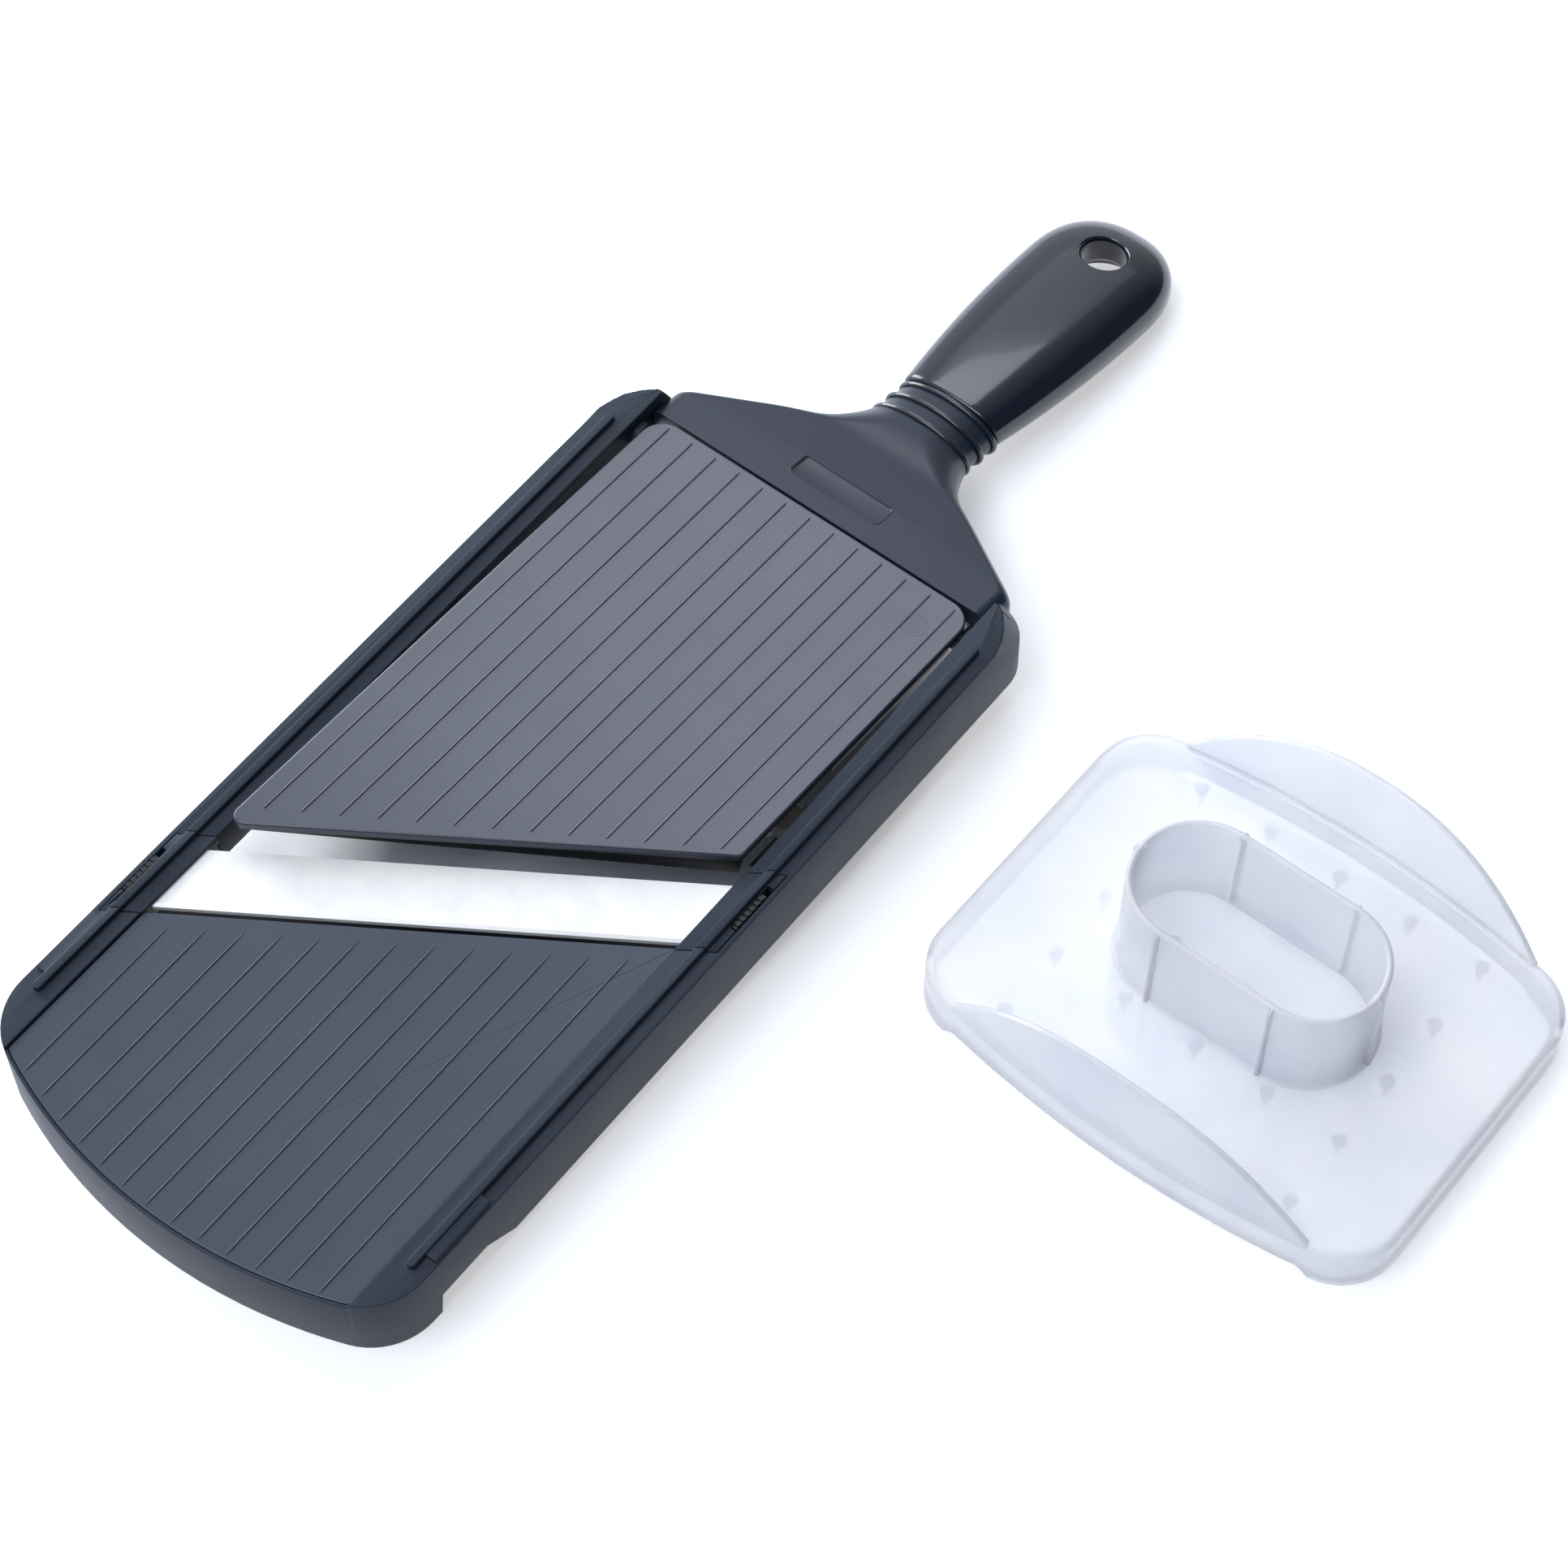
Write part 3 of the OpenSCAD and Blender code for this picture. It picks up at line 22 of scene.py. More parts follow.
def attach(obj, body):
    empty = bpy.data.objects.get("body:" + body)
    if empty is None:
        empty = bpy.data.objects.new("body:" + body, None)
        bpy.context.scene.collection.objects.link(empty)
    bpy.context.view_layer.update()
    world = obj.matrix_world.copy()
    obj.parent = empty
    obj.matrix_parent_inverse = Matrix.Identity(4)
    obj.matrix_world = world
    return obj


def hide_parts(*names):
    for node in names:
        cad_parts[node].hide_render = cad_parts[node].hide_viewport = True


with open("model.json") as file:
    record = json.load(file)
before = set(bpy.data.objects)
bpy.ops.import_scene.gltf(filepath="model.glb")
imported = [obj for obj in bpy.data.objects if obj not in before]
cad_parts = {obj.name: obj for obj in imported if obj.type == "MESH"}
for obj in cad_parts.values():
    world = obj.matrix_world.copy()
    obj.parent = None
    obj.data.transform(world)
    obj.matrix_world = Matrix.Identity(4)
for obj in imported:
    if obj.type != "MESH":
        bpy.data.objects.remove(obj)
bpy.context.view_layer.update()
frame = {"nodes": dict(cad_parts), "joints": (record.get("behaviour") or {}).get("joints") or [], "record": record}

LOG = logging.getLogger("slicer")
Pair = tuple[float, float]
Point = tuple[float, float, float]
Ring = list[Vector]
MM = 0.001
# Reach of a cutter past the slicer, in metres
FAR = 0.2
# Radius that stands for a point where a lathed profile meets its axis
AXIS = 0.0001 * MM
# Blender's wave texture at scale 1 repeats after this length
WAVE = math.pi / 10


# ---------------------------------------------------------------- places from the frame


def joint_place(name: str) -> Vector:
    """Place of a joint's axis.

    Args:
        name: The joint's name in the frame.

    Returns:
        The joint's position in metres.
    """
    return Vector(next(j["pos_m"] for j in frame["joints"] if j["name"] == name))


def mount(name: str) -> dict:
    """Record of one mount.

    Args:
        name: The mount's name in the frame.

    Returns:
        The mount's own dictionary.
    """
    return next(m for m in frame["record"]["mounts"] if m["name"] == name)


def deck_lean() -> float:
    """Angle in radians by which the slicer leans, read from the axis of its hanging hole."""
    axis = mount("hang_hole")["axis"]
    return math.atan2(-axis[1], axis[2])


# Turns a point of the level deck into a point of the leaning slicer
DECK = Matrix.Rotation(deck_lean(), 4, "X")
LEVEL = DECK.inverted()


# ---------------------------------------------------------------- colours and materials


def srgb(code: str) -> tuple[float, float, float, float]:
    """Linear colour of an sRGB hex value.

    Args:
        code: Six hex digits after a hash mark.

    Returns:
        Linear red, green, blue and an alpha of one.
    """
    parts = [int(code[i : i + 2], 16) / 255 for i in (1, 3, 5)]
    linear = [p / 12.92 if p <= 0.04045 else ((p + 0.055) / 1.055) ** 2.4 for p in parts]
    return (*linear, 1.0)


class NodeTree:
    """Node tree of a material or the world, filled from empty."""

    def __init__(self, tree: bpy.types.NodeTree) -> None:
        """Empties the tree.

        Args:
            tree: Blender's own tree.
        """
        self.tree = tree
        self.tree.nodes.clear()

    def add(
        self,
        kind: str,
        settings: dict[str, object] | None = None,
        links: dict[str | int, bpy.types.NodeSocket] | None = None,
    ) -> bpy.types.Node:
        """Adds a node.

        Args:
            kind: Blender's name of the node type.
            settings: Values for the node's attributes or, by name, its input sockets. The
                places and hex colours of a colour ramp are its "stops".
            links: Output sockets to link to the node's inputs, by name or number.

        Returns:
            The new node.
        """
        node = self.tree.nodes.new(kind)
        for key, value in (settings or {}).items():
            if key == "stops":
                for element, (place, code) in zip(node.color_ramp.elements, value):
                    element.position, element.color = place, srgb(code)
            elif hasattr(node, key):
                setattr(node, key, value)
            else:
                node.inputs[key].default_value = value
        for key, socket in (links or {}).items():
            self.tree.links.new(socket, node.inputs[key])
        return node


class Surface(NodeTree):
    """Node tree of one material."""

    def __init__(self, name: str) -> None:
        """Starts a material.

        Args:
            name: Name of the material.
        """
        self.material = bpy.data.materials.new(name)
        self.material.use_nodes = True
        super().__init__(self.material.node_tree)
        self.place = self.add("ShaderNodeTexCoord").outputs["Object"]

    def finish(
        self, settings: dict[str, object], links: dict[str, bpy.types.NodeSocket]
    ) -> bpy.types.Material:
        """Adds the surface shader.

        Args:
            settings: Values for the shader's own sockets.
            links: Output sockets that feed its inputs, by name.

        Returns:
            The finished material.
        """
        shader = self.add("ShaderNodeBsdfPrincipled", settings, links)
        self.add("ShaderNodeOutputMaterial", {}, {"Surface": shader.outputs["BSDF"]})
        return self.material

    def dress(
        self,
        tint: tuple[bpy.types.NodeSocket, tuple[float, str], tuple[float, str]],
        rough: tuple[bpy.types.NodeSocket, float, float],
        relief: tuple[bpy.types.NodeSocket, float, float] | None,
        settings: dict[str, object],
    ) -> bpy.types.Material:
        """Colours, roughens and embosses the surface by patterns, and finishes it.

        Args:
            tint: A pattern, and two places in it with their hex colours.
            rough: A pattern, and the roughness at its lowest and its highest.
            relief: A pattern, with the strength of its bumps and their height in mm.
            settings: Values for the shader's own sockets.

        Returns:
            The finished material.
        """
        shade = self.add("ShaderNodeValToRGB", {"stops": tint[1:]}, {"Fac": tint[0]})
        pattern, low, high = rough
        span = self.add("ShaderNodeMapRange", {"To Min": low, "To Max": high}, {"Value": pattern})
        links = {"Base Color": shade.outputs["Color"], "Roughness": span.outputs["Result"]}
        if relief:
            pattern, strength, height_mm = relief
            sizes = {"Strength": strength, "Distance": height_mm * MM}
            bump = self.add("ShaderNodeBump", sizes, {"Height": pattern})
            links["Normal"] = bump.outputs["Normal"]
        return self.finish(settings, links)


@dataclass(frozen=True)
class MouldedPlastic:
    """Injection-moulded ABS: an even body colour and the tool's spark-eroded grain.

    Attributes:
        name: Name of the material.
        light: Colour where the surface is cleanest.
        deep: Colour of the faint flow marks.
        roughness: Mean roughness.
        grain_mm: Size of the tool's grain.
        grain_depth_mm: Height of the grain.
        specular: Strength of the reflection at normal incidence.
        coat: Weight of a polished skin over the colour.
        flow_mm: Size of the flow marks.
        rub_mm: Size of the patches that handling has polished.
        rub: Share by which those patches change the roughness.
    """

    name: str
    light: str
    deep: str
    roughness: float
    grain_mm: float = 0.35
    grain_depth_mm: float = 0.01
    specular: float = 0.5
    coat: float = 0.0
    flow_mm: float = 38.0
    rub_mm: float = 14.0
    rub: float = 0.14

    def build(self) -> bpy.types.Material:
        """Makes the material.

        Returns:
            The finished material.
        """
        s = Surface(self.name)
        # Flow marks of the melt run for some centimetres and hardly show
        flow = s.add(
            "ShaderNodeTexNoise",
            {"Scale": 1 / (self.flow_mm * MM), "Detail": 3.0, "Roughness": 0.55},
            {"Vector": s.place},
        )
        # Handling polishes the surface unevenly
        patches = s.add(
            "ShaderNodeTexNoise",
            {"Scale": 1 / (self.rub_mm * MM), "Detail": 5.0, "Roughness": 0.6},
            {"Vector": s.place},
        )
        # Spark erosion leaves rounded pits that touch each other
        grain = s.add(
            "ShaderNodeTexNoise",
            {"Scale": 1 / (self.grain_mm * MM), "Detail": 2.0, "Roughness": 0.5},
            {"Vector": s.place},
        )
        low, high = self.roughness * (1 - self.rub), self.roughness * (1 + self.rub)
        return s.dress(
            (flow.outputs["Fac"], (0.32, self.deep), (0.68, self.light)),
            (patches.outputs["Fac"], low, high),
            (grain.outputs["Fac"], 0.6, self.grain_depth_mm),
            {"Specular IOR Level": self.specular, "Coat Weight": self.coat, "Coat Roughness": 0.06},
        )


@dataclass(frozen=True)
class PolishedZirconia:
    """Sintered zirconia ceramic, ground and polished: dense white with a soft glow.

    Attributes:
        name: Name of the material.
        light: Colour of the body.
        deep: Colour of its faint clouds.
        cloud_mm: Size of the clouds.
        line_mm: Distance between the grinding wheel's lines.
    """

    name: str = "zirconia_polished"
    light: str = "#fbfbfb"
    deep: str = "#f1f2f4"
    cloud_mm: float = 9.0
    line_mm: float = 0.9425

    def build(self) -> bpy.types.Material:
        """Makes the material.

        Returns:
            The finished material.
        """
        s = Surface(self.name)
        cloud = s.add(
            "ShaderNodeTexNoise",
            {"Scale": 1 / (self.cloud_mm * MM), "Detail": 3.0},
            {"Vector": s.place},
        )
        # The grinding wheel's lines are finer than this and drawn coarse to show
        lines = s.add(
            "ShaderNodeTexWave",
            {"Scale": WAVE / (self.line_mm * MM), "Distortion": 1.5, "Detail": 2.0},
            {"Vector": s.place},
        )
        # Light goes a little way into the ceramic, which softens its edges
        glow = {"Subsurface Weight": 0.08, "Subsurface Scale": 0.6 * MM}
        return s.dress(
            (cloud.outputs["Fac"], (0.3, self.deep), (0.6, self.light)),
            (lines.outputs["Fac"], 0.16, 0.24),
            (lines.outputs["Fac"], 0.15, 0.004),
            {"IOR": 2.1, "Specular IOR Level": 0.3, **glow},
        )


@dataclass(frozen=True)
class StainlessSteel:
    """Cold-drawn stainless steel: bright, with fine drawing lines along the wire or pin.

    Attributes:
        name: Name of the material.
        light: Colour of the metal.
        deep: Colour in the drawing lines.
        line_mm: Distance between the lines.
        stretch: Share to which the pattern is slowed along X, the way of the pins.
    """

    name: str = "stainless_drawn"
    light: str = "#c9c9c7"
    deep: str = "#a7a8a8"
    line_mm: float = 0.4
    stretch: float = 0.05

    def build(self) -> bpy.types.Material:
        """Makes the material.

        Returns:
            The finished material.
        """
        s = Surface(self.name)
        along = s.add("ShaderNodeMapping", {"Scale": (self.stretch, 1.0, 1.0)}, {"Vector": s.place})
        lines = s.add(
            "ShaderNodeTexNoise",
            {"Scale": 1 / (self.line_mm * MM), "Detail": 4.0},
            {"Vector": along.outputs["Vector"]},
        )
        return s.dress(
            (lines.outputs["Fac"], (0.35, self.deep), (0.65, self.light)),
            (lines.outputs["Fac"], 0.22, 0.38),
            None,
            {"Metallic": 1.0},
        )


@dataclass(frozen=True)
class FrostedPolypropylene:
    """Natural polypropylene, moulded thin: milky, bluish, and clearer where it is thin.

    Attributes:
        name: Name of the material.
        light: Colour of the body.
        deep: Colour of its faint clouds.
        cloud_mm: Size of the clouds.
        grain_mm: Size of the frosted grain.
    """

    name: str = "polypropylene_frosted"
    light: str = "#fcfdff"
    deep: str = "#f3f5fb"
    cloud_mm: float = 22.0
    grain_mm: float = 0.8

    def build(self) -> bpy.types.Material:
        """Makes the material.

        Returns:
            The finished material.
        """
        s = Surface(self.name)
        cloud = s.add(
            "ShaderNodeTexNoise",
            {"Scale": 1 / (self.cloud_mm * MM), "Detail": 3.0},
            {"Vector": s.place},
        )
        # Frosting of the tool scatters what passes through
        grain = s.add(
            "ShaderNodeTexNoise",
            {"Scale": 1 / (self.grain_mm * MM), "Detail": 2.0},
            {"Vector": s.place},
        )
        # A low index lets light pass both faces of a thin wall nearly straight, and the coat
        # gives back the plastic's own gloss
        clear = {"IOR": 1.09, "Transmission Weight": 0.63, "Specular IOR Level": 0.5}
        return s.dress(
            (cloud.outputs["Fac"], (0.3, self.deep), (0.7, self.light)),
            (cloud.outputs["Fac"], 0.2, 0.28),
            (grain.outputs["Fac"], 0.3, 0.01),
            {**clear, "Coat Weight": 0.5, "Coat Roughness": 0.12},
        )


class Finish(Enum):
    """The finishes that the slicer's pieces take."""

    DECK = MouldedPlastic("abs_spark_eroded_deck", "#2b3441", "#28303d", 0.42, specular=0.2)
    LANDING = MouldedPlastic("abs_satin_landing", "#374150", "#343d4c", 0.36, grain_depth_mm=0.004)
    FEED = MouldedPlastic("abs_polished_feed", "#3f4452", "#3c414f", 0.24, grain_depth_mm=0.002)
    HANDLE = MouldedPlastic(
        "abs_high_gloss_handle", "#0d1829", "#0b1627", 0.16, grain_depth_mm=0.0, coat=0.4
    )
    YOKE = MouldedPlastic("abs_semi_gloss_yoke", "#1a2638", "#182435", 0.3, grain_depth_mm=0.002)
    RING = MouldedPlastic("abs_gloss_ring", "#1f252e", "#1d232b", 0.2, grain_depth_mm=0.0, coat=0.6)
    DARK = MouldedPlastic("abs_black_moulded", "#15181d", "#13161a", 0.4)
    ACETAL = MouldedPlastic("acetal_turned", "#dad6ca", "#d2cec2", 0.38, grain_depth_mm=0.004)
    CERAMIC = PolishedZirconia()
    STEEL = StainlessSteel()
    FROSTED = FrostedPolypropylene()


@cache
def material(finish: Finish) -> bpy.types.Material:
    """Material of a finish, built once.

    Args:
        finish: The finish wanted.

    Returns:
        Its material.
    """
    return finish.value.build()


# ---------------------------------------------------------------- mesh helpers


@dataclass
class Form:
    """Points and faces of a mesh in the making.

    Attributes:
        points: Vertex places in metres.
        faces: Vertex numbers of each face.
    """

    points: list[Vector] = field(default_factory=list)
    faces: list[tuple[int, ...]] = field(default_factory=list)

    @staticmethod
    def loft(rings: Sequence[Ring], closed: bool = False) -> "Form":
        """Skins rings of equal length.

        Args:
            rings: The rings in order.
            closed: Joins the last ring to the first in place of caps.

        Returns:
            The skinned form.
        """
        n, count = len(rings[0]), len(rings)
        form = Form([p for ring in rings for p in ring])
        for i in range(count if closed else count - 1):
            a, b = i * n, (i + 1) % count * n
            form.faces += [(a + k, a + (k + 1) % n, b + (k + 1) % n, b + k) for k in range(n)]
        if not closed:
            form.faces.append(tuple(reversed(range(n))))
            form.faces.append(tuple(range((count - 1) * n, count * n)))
        return form

    def moved(self, matrix: Matrix) -> "Form":
        """Returns a copy with every point transformed by matrix."""
        return Form([matrix @ p for p in self.points], list(self.faces))

    def joined(self, *others: "Form") -> "Form":
        """Joins forms into one.

        Args:
            others: The other forms, in order.

        Returns:
            A form that holds this one and the others.
        """
        form = Form(list(self.points), list(self.faces))
        for other in others:
            shift = len(form.points)
            form.points += other.points
            form.faces += [tuple(i + shift for i in face) for face in other.faces]
        return form

    def mesh_object(self, name: str) -> bpy.types.Object:
        """Makes a mesh object with outward normals.

        Args:
            name: Name of the object and its mesh.

        Returns:
            The linked object.
        """
        mesh = bpy.data.meshes.new(name)
        mesh.from_pydata(self.points, [], self.faces)
        bm = bmesh.new()
        bm.from_mesh(mesh)
        bmesh.ops.recalc_face_normals(bm, faces=bm.faces)
        bm.to_mesh(mesh)
        bm.free()
        obj = bpy.data.objects.new(name, mesh)
        bpy.context.scene.collection.objects.link(obj)
        return obj


def smooth(obj: bpy.types.Object, degrees: float, flat_caps: bool = False) -> None:
    """Shades a mesh smooth, with sharp edges where it turns by more than an angle.

    Args:
        obj: The mesh object.
        degrees: The angle above which an edge stays sharp.
        flat_caps: Whether wide flat caps are shaded flat, so their rounded edges don't tint them.
    """
    cap_corners = 20
    for polygon in obj.data.polygons:
        polygon.use_smooth = True
    obj.data.set_sharp_from_angle(angle=math.radians(degrees))
    for polygon in obj.data.polygons:
        if flat_caps and len(polygon.vertices) > cap_corners:
            polygon.use_smooth = False


def apply_modifiers(obj: bpy.types.Object) -> None:
    """Gives an object the mesh that its modifiers make, and removes them.

    Args:
        obj: The mesh object.
    """
    evaluated = obj.evaluated_get(bpy.context.evaluated_depsgraph_get())
    mesh = bpy.data.meshes.new_from_object(evaluated)
    obj.modifiers.clear()
    old, obj.data = obj.data, mesh
    bpy.data.meshes.remove(old)


def carve(obj: bpy.types.Object, cutters: Iterable[bpy.types.Object]) -> None:
    """Cuts solids out of a mesh for good.

    Args:
        obj: The mesh object that is cut.
        cutters: Closed mesh objects, which are removed afterwards.
    """
    for cutter in cutters:
        cut = obj.modifiers.new("cut", "BOOLEAN")
        cut.operation = "DIFFERENCE"
        cut.solver = "EXACT"
        cut.object = cutter
        apply_modifiers(obj)
        bpy.data.objects.remove(cutter)


def softened_copy(node: str, width: float) -> bpy.types.Object:
    """Copies a CAD node and rounds the edges that its mould rounds.

    Args:
        node: Name of the CAD node.
        width: Width of the rounding in metres.

    Returns:
        The copy, in the node's place.
    """
    mesh = frame["nodes"][node].data.copy()
    obj = bpy.data.objects.new(node + "_moulded", mesh)
    bpy.context.scene.collection.objects.link(obj)
    # Points that meet become one, and so do facets in one plane
    same_place, same_plane = 0.002 * MM, math.radians(1.0)
    bm = bmesh.new()
    bm.from_mesh(mesh)
    bmesh.ops.remove_doubles(bm, verts=bm.verts, dist=same_place)
    bmesh.ops.dissolve_limit(bm, angle_limit=same_plane, verts=bm.verts, edges=bm.edges)
    bm.to_mesh(mesh)
    skin = BVHTree.FromBMesh(bm)
    bm.free()
    if "custom_normal" in mesh.attributes:
        mesh.attributes.remove(mesh.attributes["custom_normal"])
    bevel = obj.modifiers.new("rounding", "BEVEL")
    bevel.width = width
    bevel.segments = 3
    bevel.limit_method = "ANGLE"
    bevel.angle_limit = math.radians(40.0)
    bevel.use_clamp_overlap = False
    apply_modifiers(obj)
    # Where the rounding overshoots at a crowded corner, its points go back to the node's skin
    for vertex in obj.data.vertices:
        nearest, _, _, distance = skin.find_nearest(vertex.co)
        if distance > width:
            vertex.co = nearest
    smooth(obj, 32)
    return obj


def power(value: float, exponent: float) -> float:
    """Returns value raised to exponent with its sign kept."""
    return math.copysign(abs(value) ** exponent, value)


def ease_step(t: float) -> float:
    """Smooth step from 0 to 1."""
    u = min(1.0, max(0.0, t))
    return u * u * (3 - 2 * u)


def mix(a: float, b: float, t: float) -> float:
    """Value t of the way from a to b."""
    return a + (b - a) * t


def sweep(turn: float, steps: int) -> list[float]:
    """Angles from zero to turn in equal steps, with both ends."""
    return [turn * k / steps for k in range(steps + 1)]


def whole_turn(steps: int) -> list[float]:
    """Angles of equal steps once round."""
    return sweep(2 * math.pi, steps)[:-1]


def arc(centre: Pair, radius: float, start: float, turn: float, steps: int) -> list[Pair]:
    """Points of an arc in plan, anticlockwise.

    Args:
        centre: Its centre.
        radius: Its radius.
        start: Angle of its first point.
        turn: Angle that it covers.
        steps: Number of steps along it.

    Returns:
        The points in order.
    """
    x, y = centre
    angles = [start + a for a in sweep(turn, steps)]
    return [(x + radius * math.cos(a), y + radius * math.sin(a)) for a in angles]


def inset(outline: Sequence[Pair], distance: float) -> list[Pair]:
    """Moves the corners of a plan inwards.

    Args:
        outline: Corners of the plan, anticlockwise.
        distance: How far its sides move in.

    Returns:
        The moved corners.
    """
    # Keeps a sharp corner from moving further than the distance over this share
    least = 0.35
    n = len(outline)
    moved = []
    for i, b in enumerate(outline):
        a, c = outline[i - 1], outline[(i + 1) % n]
        u = Vector((b[0] - a[0], b[1] - a[1])).normalized()
        v = Vector((c[0] - b[0], c[1] - b[1])).normalized()
        normal = Vector((-u.y - v.y, u.x + v.x)).normalized()
        share = max(least, normal.dot(Vector((-u.y, u.x))))
        moved.append((b[0] + normal.x * distance / share, b[1] + normal.y * distance / share))
    return moved


def prism(outline: Sequence[Pair], levels: Iterable[Pair]) -> Form:
    """Upright solid of a plan that is moved in from level to level.

    Args:
        outline: Corners of the plan, anticlockwise.
        levels: How far the plan is moved in, and the height, from bottom to top.

    Returns:
        The closed solid.
    """
    return Form.loft([[Vector((x, y, z)) for x, y in inset(outline, d)] for d, z in levels])


def block(x: Pair, y: Pair, z: Pair) -> Form:
    """Plain block between two places on each axis, for a cutter or a hidden stiffener."""
    plan = ((x[0], y[0]), (x[1], y[0]), (x[1], y[1]), (x[0], y[1]))
    return prism(plan, [(0.0, z[0]), (0.0, z[1])])


def rounded_prism(
    outline: Sequence[Pair], low: float, high: float, edge: float, steps: int = 4
) -> Form:
    """Plate of a plan with a rounded upper edge and a slightly eased lower one.

    Args:
        outline: Corners of the plan, anticlockwise, with no sharp hollow corners.
        low: Height of the underside.
        high: Height of the upper side.
        edge: Radius of the upper edge.
        steps: Facets across that edge.

    Returns:
        The closed plate.
    """
    ease = edge * 0.4
    levels = [(ease, low), (0.0, low + ease)]
    levels += [
        (edge * (1 - math.cos(a)), high - edge + edge * math.sin(a))
        for a in sweep(math.pi / 2, steps)
    ]
    return prism(outline, levels)


def lathe(profile: Sequence[Pair], steps: int) -> Form:
    """Turns a profile about the Z axis.

    Args:
        profile: Radius and height pairs from bottom to top, in metres.
        steps: Number of steps round the axis.

    Returns:
        The closed form.
    """
    turns = whole_turn(steps)
    return Form.loft(
        [[Vector((r * math.cos(a), r * math.sin(a), z)) for a in turns] for r, z in profile]
    )


def finish_piece(
    obj: bpy.types.Object, finish: Finish, body: str, stands_for: Sequence[str] = ()
) -> bpy.types.Object:
    """Dresses a piece, parents it to an empty for its body and hides the CAD nodes that it replaces.

    Args:
        obj: The piece in place.
        finish: Its finish.
        body: The frame's body that it moves with.
        stands_for: CAD nodes that it replaces.

    Returns:
        The same piece.
    """
    obj.data.materials.clear()
    obj.data.materials.append(material(finish))
    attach(obj, body)
    if stands_for:
        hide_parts(*stands_for)
    LOG.info("%s: %d faces on %s", obj.name, len(obj.data.polygons), body)
    return obj


# ---------------------------------------------------------------- handle


